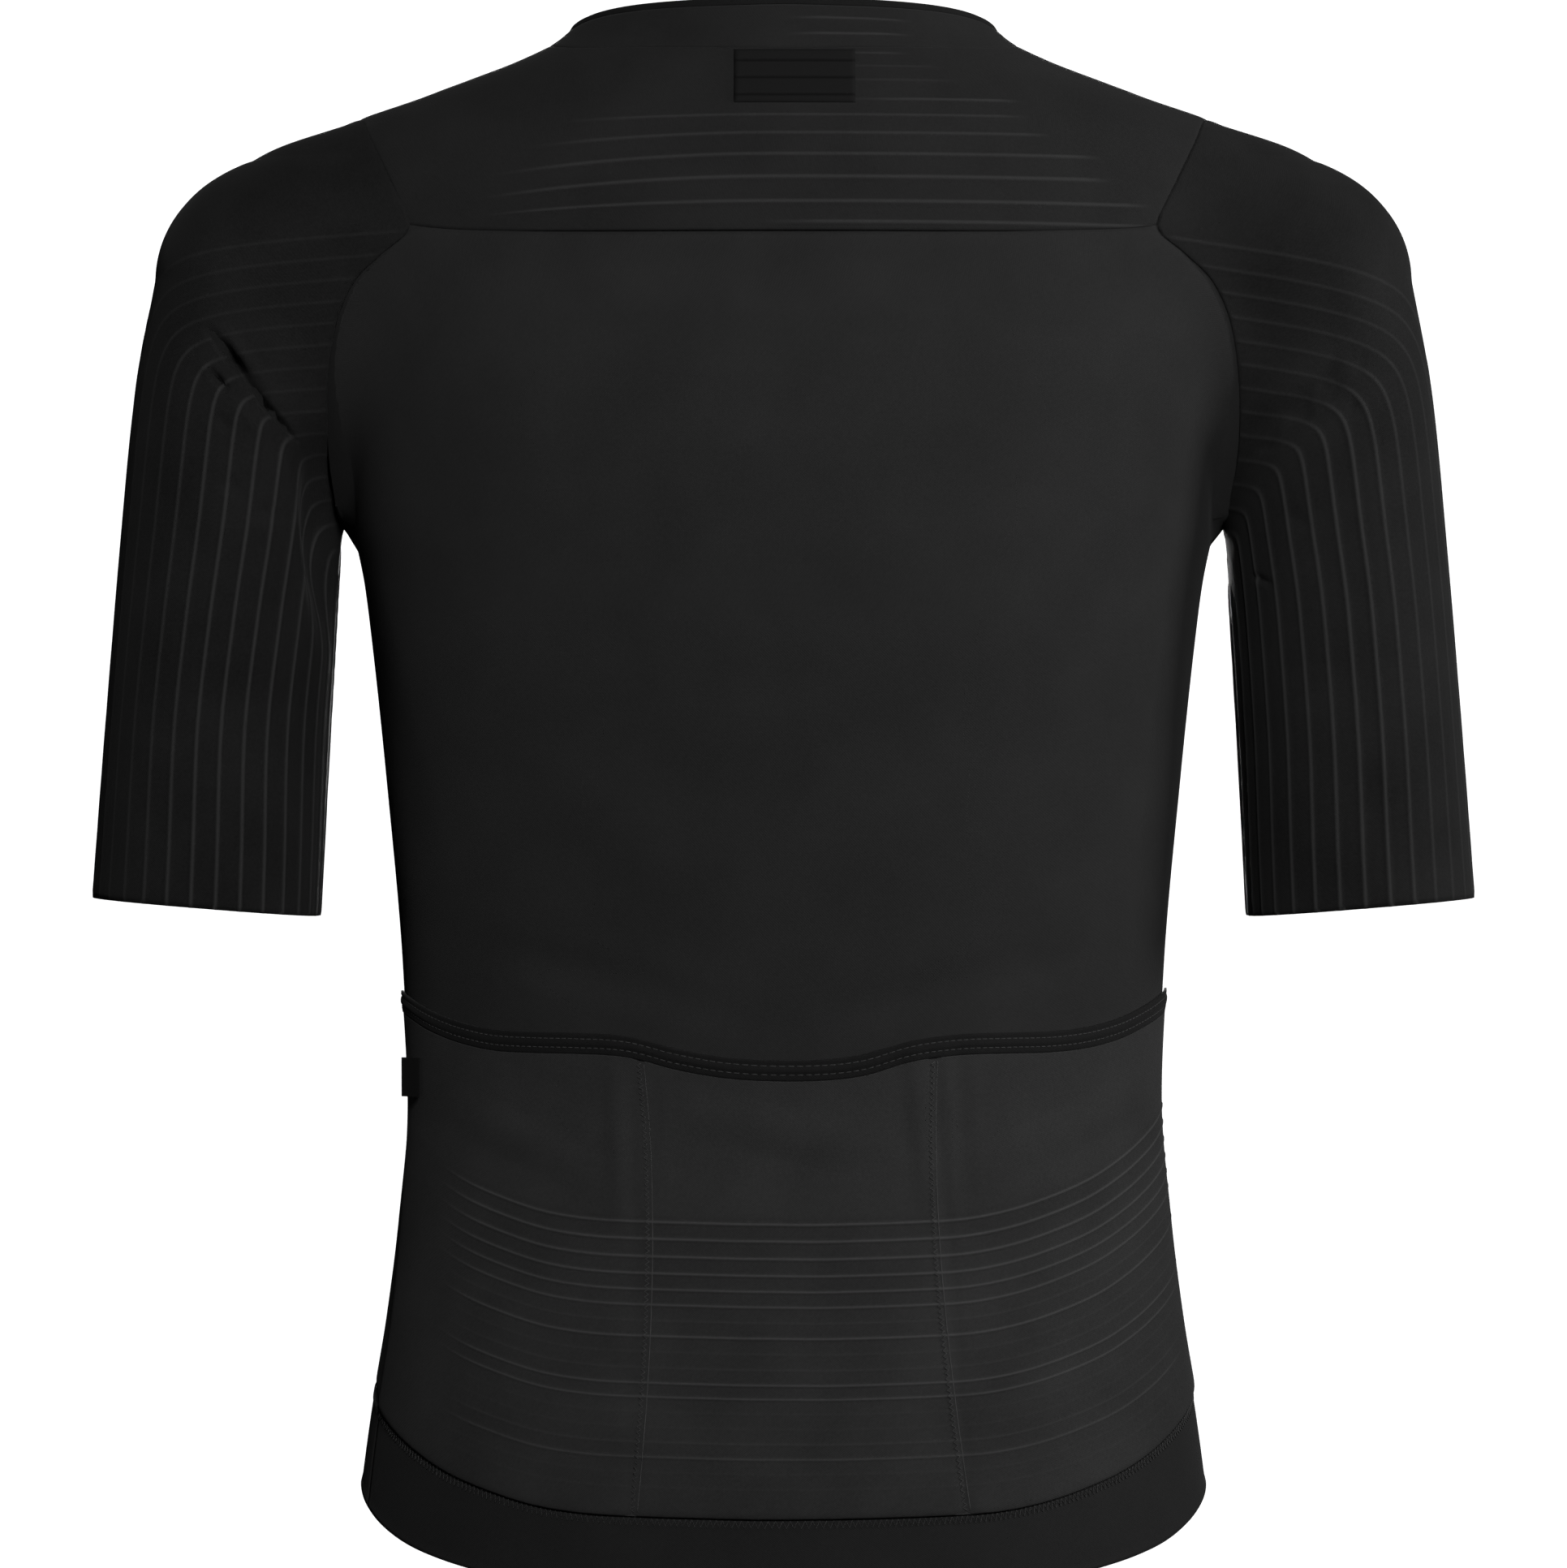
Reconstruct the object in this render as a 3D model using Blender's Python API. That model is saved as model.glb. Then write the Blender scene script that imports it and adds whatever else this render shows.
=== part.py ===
"""A race-fit, short-sleeved cycling jersey with a full zip, worn, as hollow walls of cloth.

Metres. +Z is up, the wearer faces -Y, and the wearer's left is +X. The origin is the
middle of the neck base, where the shoulders carry the jersey.

The cloth follows one smooth form: an oval trunk that blends into two oval arms. Every
seam is a line of points on that form. Every panel is a grid between its seams, settled
onto the form, and closed by a plain grid one wall further in. Ribs are raised in the
outer grid alone.
"""

import functools
import math
from collections import namedtuple

import bmesh
import bpy
import numpy as np
from mathutils import Matrix, Vector

# Cloth
WALL = 0.0012
SEAM_GAP = 0.0003
LAYER_GAP = 0.0003
RIB_RISE = 0.0006

# Where the seams lie
ARMPIT = (0.1810, -0.1965)
ARMHOLE_MIDDLE = -0.115
MITRE_TOP = (0.2520, -0.0740)
YOKE_SEAM = -0.0855
YOKE_RIB_PITCH = 0.0094
YOKE_RIB_FOOT = 0.16
POCKET_RIB_PITCH = 0.0070
SLEEVE_RIBS = 32
MOUTH_BAND = 0.0085
BINDING_WIDTH = 0.0036
BINDING_STEEPNESS = 0.85
MITRE_ROUNDING = 0.30
CUFF_MIDDLE = -0.3576
CUFF_TILT = math.radians(4.7)
TAPE_WIDTH = 0.0068

# Grid steps
WAIST_CROWDING = 1.35
BACK_STEPS = 20
FRONT_STEPS = 10
SHOULDER_STEPS = 5
WAIST_STEPS = 7
POCKET_STEPS = 6
BAND_STEPS = 2
YOKE_LOOP = 4
BACK_LOOP = 10
FRONT_LOOP = 14
LOOP_STEPS = YOKE_LOOP + BACK_LOOP + FRONT_LOOP
SLEEVE_TOP_STEPS = 5
SLEEVE_LOW_STEPS = 6
RELAX_ROUNDS = 5
PATCH_PASSES = 8

# Zip
SLIDER_MIDDLE = -0.0425
SLIDER_WIDTH = 0.0078
SLIDER_LENGTH = 0.0105
SLIDER_THICKNESS = 0.0016
BRIDGE_WIDTH = 0.0026
BRIDGE_LENGTH = 0.0060
BRIDGE_RISE = 0.0030
BRIDGE_WALL = 0.0009
PULL_WIDTH = 0.0064
PULL_LENGTH = 0.0200
PULL_THICKNESS = 0.0012
PULL_BAR = 0.0012
PULL_HOLE_WIDTH = 0.0036
PULL_HOLE_LENGTH = 0.0040
PULL_DROP = 0.0012
EDGE_BEVEL = 0.00025

# Tab in the left side seam
TAB_HEIGHT = 0.0160
TAB_LENGTH = 0.0100
TAB_THICKNESS = 0.0010
TAB_MIDDLE = -0.4265
TAB_TURN = 70.0
TAB_SPLAY = math.radians(14)

Trunk = namedtuple("Trunk", "height half_width back front")
TRUNK = (
    Trunk(0.030, 0.0700, 0.0440, -0.0360),
    Trunk(0.012, 0.0805, 0.0510, -0.0400),
    Trunk(0.000, 0.0915, 0.0590, -0.0440),
    Trunk(-0.0035, 0.0970, 0.0615, -0.0460),
    Trunk(-0.010, 0.1120, 0.0650, -0.0490),
    Trunk(-0.0235, 0.1440, 0.0715, -0.0550),
    Trunk(-0.036, 0.1655, 0.0780, -0.0600),
    Trunk(-0.050, 0.1785, 0.0840, -0.0660),
    Trunk(-0.070, 0.1860, 0.0915, -0.0740),
    Trunk(-0.100, 0.1890, 0.1000, -0.0890),
    Trunk(-0.150, 0.1860, 0.1080, -0.1080),
    Trunk(-0.180, 0.1805, 0.1100, -0.1140),
    Trunk(-0.204, 0.1768, 0.1100, -0.1170),
    Trunk(-0.224, 0.1730, 0.1090, -0.1180),
    Trunk(-0.245, 0.1702, 0.1070, -0.1170),
    Trunk(-0.305, 0.1637, 0.0990, -0.1110),
    Trunk(-0.385, 0.1567, 0.0895, -0.1010),
    Trunk(-0.435, 0.1546, 0.0865, -0.0960),
    Trunk(-0.486, 0.1586, 0.0905, -0.0950),
    Trunk(-0.526, 0.1636, 0.0965, -0.0970),
    Trunk(-0.566, 0.1702, 0.1020, -0.0990),
    Trunk(-0.600, 0.1747, 0.1050, -0.1010),
    Trunk(-0.650, 0.1800, 0.1080, -0.1030),
)
TRUNK_ROUNDNESS = 2.25

Arm = namedtuple("Arm", "height centre_x centre_y half_width half_depth")
ARM = (
    Arm(-0.100, 0.2195, 0.000, 0.0395, 0.0550),
    Arm(-0.144, 0.2235, 0.000, 0.0430, 0.0550),
    Arm(-0.204, 0.2277, -0.001, 0.0449, 0.0540),
    Arm(-0.285, 0.2336, -0.004, 0.0460, 0.0525),
    Arm(-0.365, 0.2391, -0.008, 0.0470, 0.0510),
)
ARM_ROUNDNESS = 2.4
SHOULDER_CAP = 0.0450

# How far the trunk and an arm reach for each other where they meet.
Blend = namedtuple("Blend", "height reach")
BLEND = (
    Blend(-0.400, 0.008),
    Blend(-0.205, 0.010),
    Blend(-0.187, 0.015),
    Blend(-0.160, 0.034),
    Blend(-0.120, 0.056),
    Blend(-0.060, 0.070),
    Blend(0.050, 0.070),
)

# The armhole seam: degrees about its middle, from the shoulder over the back, under
# the arm and up the front, and how far it lies from the middle of the jersey.
Armhole = namedtuple("Armhole", "turn offset")
ARMHOLE = (
    Armhole(0, 0.1745),
    Armhole(24, 0.1700),
    Armhole(43, 0.1620),
    Armhole(63, 0.1510),
    Armhole(70, 0.1610),
    Armhole(80, 0.1740),
    Armhole(97, 0.1815),
    Armhole(122, 0.1850),
    Armhole(142, 0.1855),
    Armhole(161, 0.1835),
    Armhole(180, ARMPIT[0]),
    Armhole(203, 0.1800),
    Armhole(228, 0.1720),
    Armhole(255, 0.1600),
    Armhole(285, 0.1540),
    Armhole(318, 0.1620),
    Armhole(360, 0.1745),
)
YOKE_CORNER_TURN = 63

# Round the neck, in degrees from the middle of the back.
Neck = namedtuple("Neck", "turn seam top")
NECK = (
    Neck(0, -0.0100, 0.0125),
    Neck(45, -0.0080, 0.0105),
    Neck(90, -0.0035, 0.0050),
    Neck(125, -0.0180, -0.0060),
    Neck(155, -0.0410, -0.0240),
    Neck(180, -0.0520, -0.0330),
)

# Round the lower edge, in degrees from the middle of the back.
Hem = namedtuple("Hem", "turn seam edge")
HEM = (
    Hem(0, -0.6000, -0.6310),
    Hem(25, -0.5980, -0.6285),
    Hem(45, -0.5875, -0.6210),
    Hem(60, -0.5750, -0.6130),
    Hem(75, -0.5620, -0.6020),
    Hem(90, -0.5530, -0.5930),
    Hem(120, -0.5490, -0.5880),
    Hem(180, -0.5470, -0.5850),
)

# The pockets' top edge, in degrees from the middle of the back.
Mouth = namedtuple("Mouth", "turn edge")
MOUTH = (
    Mouth(0, -0.4180),
    Mouth(11, -0.4150),
    Mouth(18, -0.4090),
    Mouth(27, -0.4070),
    Mouth(43, -0.4065),
    Mouth(56, -0.4030),
    Mouth(75, -0.3945),
    Mouth(90, -0.3900),
)

# How far each side seam lies behind the middle of the side.
SideSeam = namedtuple("SideSeam", "height left right")
SIDE_SEAM = (
    SideSeam(-0.640, 0.032, 0.010),
    SideSeam(-0.553, 0.028, 0.009),
    SideSeam(-0.428, 0.014, 0.006),
    SideSeam(-0.300, 0.006, 0.004),
    SideSeam(ARMPIT[1], 0.0, 0.0),
)


FINE_SAMPLES = 4001


def column(rows, name):
    return [getattr(row, name) for row in rows]


def curve_through(places, values):
    """A smooth curve through the values that never overshoots them."""
    order = np.argsort(places)
    places = np.array(places, float)[order]
    values = np.array(values, float)[order]
    steps = np.diff(places)
    slopes = np.diff(values) / steps
    before = 2 * steps[1:] + steps[:-1]
    after = steps[1:] + 2 * steps[:-1]
    same_way = slopes[1:] * slopes[:-1] > 0
    left = np.where(same_way, slopes[:-1], 1)
    right = np.where(same_way, slopes[1:], 1)
    tangents = np.empty_like(values)
    tangents[1:-1] = np.where(same_way, (before + after) / (before / left + after / right), 0)
    tangents[0] = slopes[0]
    tangents[-1] = slopes[-1]

    fine = np.linspace(places[0], places[-1], FINE_SAMPLES)
    index = np.clip(np.searchsorted(places, fine) - 1, 0, len(steps) - 1)
    step = steps[index]
    t = (fine - places[index]) / step
    smooth = (
        (1 + 2 * t) * (1 - t) ** 2 * values[index]
        + t * (1 - t) ** 2 * step * tangents[index]
        + t * t * (3 - 2 * t) * values[index + 1]
        + t * t * (t - 1) * step * tangents[index + 1]
    )
    return lambda place: np.interp(place, fine, smooth)


def curves(rows, key):
    return {name: curve_through(column(rows, key), column(rows, name)) for name in rows[0]._fields}


TRUNK_AT = curves(TRUNK, "height")
ARM_AT = curves(ARM, "height")
BLEND_AT = curves(BLEND, "height")
NECK_AT = curves(NECK, "turn")
HEM_AT = curves(HEM, "turn")
MOUTH_AT = curves(MOUTH, "turn")
SIDE_AT = curves(SIDE_SEAM, "height")


# --- The form --------------------------------------------------------------------


def trunk_depth(towards_back, height):
    """How deep the trunk is, behind its middle or in front of it."""
    return np.where(np.asarray(towards_back) > 0, TRUNK_AT["back"](height), -TRUNK_AT["front"](height))


def trunk_field(x, y, z):
    across = np.abs(x) / TRUNK_AT["half_width"](z)
    along = np.abs(y) / trunk_depth(y, z)
    reach = (across**TRUNK_ROUNDNESS + along**TRUNK_ROUNDNESS) ** (1 / TRUNK_ROUNDNESS)
    return np.hypot(x, y) * (1 - 1 / np.maximum(reach, 1e-3))


def arm_field(x, y, z):
    above = np.maximum(z - ARM[0].height, 0)
    from_x = np.abs(x) - ARM_AT["centre_x"](z)
    from_y = y - ARM_AT["centre_y"](z)
    across = np.abs(from_x) / ARM_AT["half_width"](z)
    along = np.abs(from_y) / ARM_AT["half_depth"](z)
    oval = (across**ARM_ROUNDNESS + along**ARM_ROUNDNESS) ** (1 / ARM_ROUNDNESS)
    reach = np.hypot(oval, above / SHOULDER_CAP)
    length = np.sqrt(from_x**2 + from_y**2 + above**2)
    return length * (1 - 1 / np.maximum(reach, 1e-3))


PROBE = 0.0005


def gradient(field, points):
    slopes = []
    for axis in range(3):
        step = np.zeros(3)
        step[axis] = PROBE
        ahead = field(*np.moveaxis(points + step, -1, 0))
        behind = field(*np.moveaxis(points - step, -1, 0))
        slopes.append((ahead - behind) / (2 * PROBE))
    return np.stack(slopes, axis=-1)


def distance(field, points):
    steepness = np.linalg.norm(gradient(field, points), axis=-1)
    return field(*np.moveaxis(points, -1, 0)) / np.maximum(steepness, 0.2)


def form_field(x, y, z):
    """About the distance outside the form, and negative inside it."""
    points = np.stack(np.broadcast_arrays(x, y, z), axis=-1)
    trunk = distance(trunk_field, points)
    arm = distance(arm_field, points)
    reach = BLEND_AT["reach"](points[..., 2])
    overlap = np.maximum(reach - np.abs(trunk - arm), 0) / reach
    return np.minimum(trunk, arm) - overlap**2 * reach / 4


def outward(points):
    slopes = gradient(form_field, points)
    return slopes / np.linalg.norm(slopes, axis=-1, keepdims=True)


def settle(points):
    """Moves points along the form's slope until they lie on it."""
    points = np.array(points, float)
    for _ in range(8):
        slopes = gradient(form_field, points)
        steepness = np.maximum((slopes**2).sum(axis=-1), 0.2)
        points = points - slopes * (form_field(*np.moveaxis(points, -1, 0)) / steepness)[..., None]
    return points


def cast(starts, directions, furthest=0.2, samples=201):
    """Where rays from inside the form first leave it."""
    ray = np.linspace(0, furthest, samples)
    lines = starts[:, None] + ray[None, :, None] * directions[:, None]
    depth = form_field(*np.moveaxis(lines, -1, 0))
    first = np.maximum(np.argmax(depth > 0, axis=1), 1)
    each = np.arange(len(starts))
    near, far = depth[each, first - 1], depth[each, first]
    reach = ray[first - 1] + (ray[first] - ray[first - 1]) * near / (near - far)
    return settle(starts + reach[:, None] * directions)


# --- Places on the trunk: degrees from the middle of the back, height, reach ------------


def signed_power(value, power):
    return np.sign(value) * np.abs(value) ** power


def unwrap(places):
    """Points from (turn, height, reach), where a reach of 1 is on the trunk."""
    turn, height, reach = np.moveaxis(np.asarray(places, float), -1, 0)
    across = signed_power(np.sin(np.radians(turn)), 2 / TRUNK_ROUNDNESS)
    along = signed_power(np.cos(np.radians(turn)), 2 / TRUNK_ROUNDNESS)
    x = reach * across * TRUNK_AT["half_width"](height)
    return np.stack([x, reach * along * trunk_depth(along, height), height + 0 * x], axis=-1)


def wrap(points):
    x, y, height = np.moveaxis(np.asarray(points, float), -1, 0)
    across = signed_power(x / TRUNK_AT["half_width"](height), TRUNK_ROUNDNESS / 2)
    along = signed_power(y / trunk_depth(y, height), TRUNK_ROUNDNESS / 2)
    turn = np.degrees(np.arctan2(across, along))
    return np.stack([turn, height, np.hypot(across, along) ** (2 / TRUNK_ROUNDNESS)], axis=-1)


def on_trunk(turns, heights):
    turns, heights = np.broadcast_arrays(turns, heights)
    return settle(unwrap(np.stack([turns, heights, np.ones(turns.shape)], axis=-1)))


def mirrored(points):
    return points * np.array([-1.0, 1.0, 1.0])


# --- Seams, each a line of points on the form -------------------------------------------


def spaced(points, count, start=0.0, end=1.0):
    """The line through the points, cut again into equal steps between two shares of it."""
    lengths = np.concatenate([[0], np.cumsum(np.linalg.norm(np.diff(points, axis=0), axis=1))])
    places = np.linspace(start, end, count + 1) * lengths[-1]
    return np.stack([np.interp(places, lengths, points[:, axis]) for axis in range(3)], axis=-1)


def armhole_points(first_turn, last_turn, steps):
    """Evenly spaced points of the left armhole seam between two turns."""
    turns = np.linspace(first_turn, last_turn, 8 * steps + 1)
    offsets = curve_through(column(ARMHOLE, "turn"), column(ARMHOLE, "offset"))(turns)
    flat = np.zeros(turns.shape)
    starts = np.stack([offsets, flat, flat + ARMHOLE_MIDDLE], axis=-1)
    turned = np.radians(turns)
    rays = np.stack([flat, np.sin(turned), np.cos(turned)], axis=-1)
    return settle(spaced(cast(starts, rays), steps))


def side_turn(height, side):
    """The side seam's turn at a height, on the left or the right."""
    behind = SIDE_AT[side](height) / TRUNK_AT["back"](height)
    return np.degrees(np.arccos(signed_power(behind, TRUNK_ROUNDNESS / 2)))


ARMHOLE_YOKE = armhole_points(0, YOKE_CORNER_TURN, YOKE_LOOP)
ARMHOLE_BACK = armhole_points(YOKE_CORNER_TURN, 180, BACK_LOOP)
ARMHOLE_FRONT = armhole_points(180, 360, FRONT_LOOP)
ARMHOLE_LOOP = np.concatenate([ARMHOLE_YOKE[:-1], ARMHOLE_BACK[:-1], ARMHOLE_FRONT[:-1]])


def neck_line(turns, edge):
    return on_trunk(turns, NECK_AT[edge](np.abs(turns)))


def hem_line(turns, edge):
    return on_trunk(turns, HEM_AT[edge](np.abs(turns)))


def mouth_line(turns, drop=0.0):
    return on_trunk(turns, MOUTH_AT["edge"](np.abs(turns)) - drop)


def shoulder_seam():
    """From the armhole up to the neck, on the left."""
    tip = ARMHOLE_YOKE[0]
    neck = NECK_AT["seam"](90.0)
    heights = curve_through([0, 0.5, 1], [tip[2], 0.42 * tip[2] + 0.58 * neck, neck])
    ends = np.stack([wrap(tip), np.array([90.0, neck, 1.0])])
    share = np.linspace(0, 1, 33)
    line = ends[0] + share[:, None] * (ends[1] - ends[0])
    line[:, 1] = heights(share)
    points = settle(unwrap(line))
    points[0] = tip
    points[-1] = neck_line(np.array([90.0]), "seam")[0]
    return spaced(points, SHOULDER_STEPS)


def side_line(start, lowest, steps, side, crowding=1.0):
    """Down a side seam from a point on it, in steps that may crowd towards the start."""
    heights = start[2] + (lowest - start[2]) * np.linspace(0, 1, steps + 1) ** crowding
    turns = side_turn(heights, side)
    points = on_trunk(turns, heights)
    points[0] = start
    return points


def crossing_height(edge_at, side):
    """The height at which an edge round the trunk meets a side seam."""
    height = edge_at(90.0)
    for _ in range(12):
        height = edge_at(side_turn(height, side))
    return float(height)


SIDES = ("left", "right")
FLIP = {"left": np.array([1.0, 1.0, 1.0]), "right": np.array([-1.0, 1.0, 1.0])}
SHOULDER = shoulder_seam()
MOUTH_HEIGHT = {side: crossing_height(MOUTH_AT["edge"], side) for side in SIDES}
SEAM_HEIGHT = {side: crossing_height(HEM_AT["seam"], side) for side in SIDES}
EDGE_HEIGHT = {side: crossing_height(HEM_AT["edge"], side) for side in SIDES}
BAND_HEIGHT = {
    side: crossing_height(lambda turn: MOUTH_AT["edge"](turn) - MOUTH_BAND, side) for side in SIDES
}


def back_turns(heights):
    """Equal steps across the back, from the right side seam to the left."""
    ends = -side_turn(heights["right"], "right"), side_turn(heights["left"], "left")
    share = np.linspace(0, 1, BACK_STEPS + 1)
    # The steps close up towards the sides, where the cloth turns round the body.
    share = share + 0.020 * np.sin(2 * math.pi * share)
    return ends[0] + share * (ends[1] - ends[0])


# --- Panels ------------------------------------------------------------------------------


def along(line, stops):
    """Points on the chords of a line at whole and part steps."""
    steps = np.arange(len(line))
    return np.stack([np.interp(stops, steps, line[:, axis]) for axis in range(3)], axis=-1)


def relaxed(grid, passes):
    """The grid with its inner points drawn towards their neighbours' middles, on the form."""
    grid = grid.copy()
    for _ in range(passes):
        for _ in range(RELAX_ROUNDS):
            across = grid[1:-1, :-2] + grid[1:-1, 2:]
            upward = grid[:-2, 1:-1] + grid[2:, 1:-1]
            grid[1:-1, 1:-1] = (across + upward) / 4
        grid[1:-1, 1:-1] = settle(grid[1:-1, 1:-1])
    return grid


def patch(bottom, top, left, right):
    """A grid on the form between four seams, with the seams' own steps."""
    low, high, start, end = bottom[None], top[None], left[:, None], right[:, None]
    u = np.linspace(0, 1, len(bottom))[None, :, None]
    v = np.linspace(0, 1, len(left))[:, None, None]
    corners = (
        (1 - u) * (1 - v) * low[:, :1]
        + u * (1 - v) * low[:, -1:]
        + (1 - u) * v * high[:, :1]
        + u * v * high[:, -1:]
    )
    points = settle((1 - v) * low + v * high + (1 - u) * start + u * end - corners)
    points[0], points[-1], points[:, 0], points[:, -1] = bottom, top, left, right
    return relaxed(points, PATCH_PASSES)


def with_rows(grid, rows):
    """The grid cut again at rows counted in its own steps, with its edges kept on their chords."""
    finer = np.stack([along(grid[:, column], rows) for column in range(grid.shape[1])], axis=1)
    finer[1:-1, 1:-1] = settle(finer[1:-1, 1:-1])
    return finer


def drawn_back(grid, edges, amount=SEAM_GAP / 2):
    """The grid with its named edges moved in by half a seam gap."""
    grid = grid.copy()
    source = grid.copy()
    inner = {"bottom": 1, "top": -2, "left": 1, "right": -2}
    outer = {"bottom": 0, "top": -1, "left": 0, "right": -1}
    for edge in edges:
        pick = (lambda at: np.s_[at]) if edge in ("bottom", "top") else (lambda at: np.s_[:, at])
        line = source[pick(outer[edge])]
        course = np.gradient(line, axis=0)
        course = course / np.linalg.norm(course, axis=-1, keepdims=True)
        inward = source[pick(inner[edge])] - line
        # Straight in from the seam, whichever way the grid leaves it.
        inward = inward - (inward * course).sum(axis=-1, keepdims=True) * course
        inward = inward / np.linalg.norm(inward, axis=-1, keepdims=True)
        grid[pick(outer[edge])] += inward * amount
    return grid


def rib_stops(crests, foot, last):
    """Grid stops for ribs: a foot, a crest and a foot at each, with the relief at each stop."""
    stops = {0.0: 0.0, float(last): 0.0}
    for crest in crests:
        stops[round(crest - foot, 6)] = 0.0
        stops[round(crest, 6)] = 1.0
        stops[round(crest + foot, 6)] = 0.0
    order = sorted(stops)
    return np.array(order), np.array([stops[stop] for stop in order])


def add_solid(name, points, faces, finish):
    mesh = bpy.data.meshes.new(name)
    mesh.from_pydata([tuple(point) for point in points], [], faces)
    shape = bmesh.new()
    shape.from_mesh(mesh)
    bmesh.ops.recalc_face_normals(shape, faces=shape.faces)
    bmesh.ops.triangulate(shape, faces=shape.faces, quad_method="SHORT_EDGE")
    shape.to_mesh(mesh)
    shape.free()
    mesh.shade_smooth()
    mesh.set_sharp_from_angle(angle=math.radians(50))
    mesh.materials.append(finish)
    solid = bpy.data.objects.new(name, mesh)
    bpy.context.scene.collection.objects.link(solid)
    return solid


def strip_faces(first, second, points):
    """Faces between two lines of points of any counts, which start and end together."""

    def shares(line):
        steps = np.linalg.norm(np.diff(points[line], axis=0), axis=1)
        lengths = np.concatenate([[0], np.cumsum(steps)])
        return lengths / lengths[-1]

    first_share, second_share = shares(first), shares(second)
    faces = []
    i = j = 0
    while i < len(first) - 1 or j < len(second) - 1:
        if j == len(second) - 1 or (i < len(first) - 1 and first_share[i + 1] <= second_share[j + 1]):
            faces.append((first[i], first[i + 1], second[j]))
            i += 1
        else:
            faces.append((first[i], second[j + 1], second[j]))
            j += 1
    return faces


def grid_faces(ids):
    return [
        (ids[i, j], ids[i, j + 1], ids[i + 1, j + 1], ids[i + 1, j])
        for i in range(ids.shape[0] - 1)
        for j in range(ids.shape[1] - 1)
    ]


def add_cloth(name, outer, inner, finish, tube=False):
    """A wall between two grids. A tube's last column is its first one."""
    if tube:
        outer, inner = outer[:, :-1], inner[:, :-1]
    outer_ids = np.arange(outer.shape[0] * outer.shape[1]).reshape(outer.shape[:2])
    inner_ids = np.arange(inner.shape[0] * inner.shape[1]).reshape(inner.shape[:2]) + outer_ids.size
    if tube:
        outer_ids = np.concatenate([outer_ids, outer_ids[:, :1]], axis=1)
        inner_ids = np.concatenate([inner_ids, inner_ids[:, :1]], axis=1)
    points = np.concatenate([outer.reshape(-1, 3), inner.reshape(-1, 3)])
    faces = grid_faces(outer_ids) + grid_faces(inner_ids)
    rims = [(outer_ids[0], inner_ids[0]), (outer_ids[-1], inner_ids[-1])]
    if not tube:
        rims += [(outer_ids[:, 0], inner_ids[:, 0]), (outer_ids[:, -1], inner_ids[:, -1])]
    for outer_rim, inner_rim in rims:
        faces += strip_faces(outer_rim, inner_rim, points)
    return add_solid(name, points, faces, finish)


def add_panel(name, seams, joined, finish, ribs=((), 0.0), lift=0.0):
    """A panel between its bottom, top, left and right seams, with ribs across it at their crests."""
    grid = patch(*seams)
    plain = drawn_back(grid, joined)
    facing = outward(plain)
    inner = plain + (lift - WALL) * facing
    crests, foot = ribs
    if not len(crests):
        add_cloth(name, plain + lift * facing, inner, finish)
        return
    rows, relief = rib_stops(crests, foot, len(grid) - 1)
    ribbed = drawn_back(with_rows(grid, rows), joined)
    # Each rib dies away at the panel's edges.
    fade = np.ones(ribbed.shape[1])
    fade[0] = fade[-1] = 0
    height = lift + RIB_RISE * relief[:, None] * fade[None, :]
    add_cloth(name, ribbed + height[..., None] * outward(ribbed), inner, finish)


def plain_finish(name, colour, roughness, metallic=0.0):
    finish = bpy.data.materials.new(name)
    finish.use_nodes = True
    shader = finish.node_tree.nodes["Principled BSDF"]
    shader.inputs["Base Color"].default_value = (*colour, 1)
    shader.inputs["Roughness"].default_value = roughness
    shader.inputs["Metallic"].default_value = metallic
    return finish


def clear_scene():
    for thing in list(bpy.data.objects):
        bpy.data.objects.remove(thing, do_unlink=True)


def join_lines(*lines):
    """Lines that meet end to end, as one."""
    return np.concatenate([lines[0]] + [line[1:] for line in lines[1:]])


@functools.lru_cache
def back_side_lines(side):
    """The back panel's edge on one side: armhole, waist, mouth band and pocket."""
    flip = FLIP[side]
    armhole = ARMHOLE_BACK * flip
    waist = side_line(ARMHOLE_BACK[-1], MOUTH_HEIGHT[side], WAIST_STEPS, side, WAIST_CROWDING) * flip
    band = side_line(waist[-1] * flip, BAND_HEIGHT[side], 1, side) * flip
    pocket = side_line(band[-1] * flip, SEAM_HEIGHT[side], POCKET_STEPS, side) * flip
    return armhole, waist, band, pocket


def yoke_turns():
    end = wrap(ARMHOLE_YOKE[-1])[0]
    share = np.linspace(-1, 1, BACK_STEPS + 1)
    return share * end


def yoke_seam():
    """The seam between yoke and back panel, from right to left."""
    corner = ARMHOLE_YOKE[-1]
    turns = yoke_turns()
    places = np.zeros((BACK_STEPS + 1, 3))
    share = np.abs(turns) / turns[-1]
    reach = wrap(corner)[2]
    places[:, 0] = turns
    places[:, 1] = YOKE_SEAM + (corner[2] - YOKE_SEAM) * share**4
    places[:, 2] = 1 + (reach - 1) * share**6
    line = settle(unwrap(places))
    line[0], line[-1] = mirrored(corner), corner
    return line


def neck_back_turns():
    share = np.linspace(-1, 1, BACK_STEPS + 1)
    return 90 * share


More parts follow.
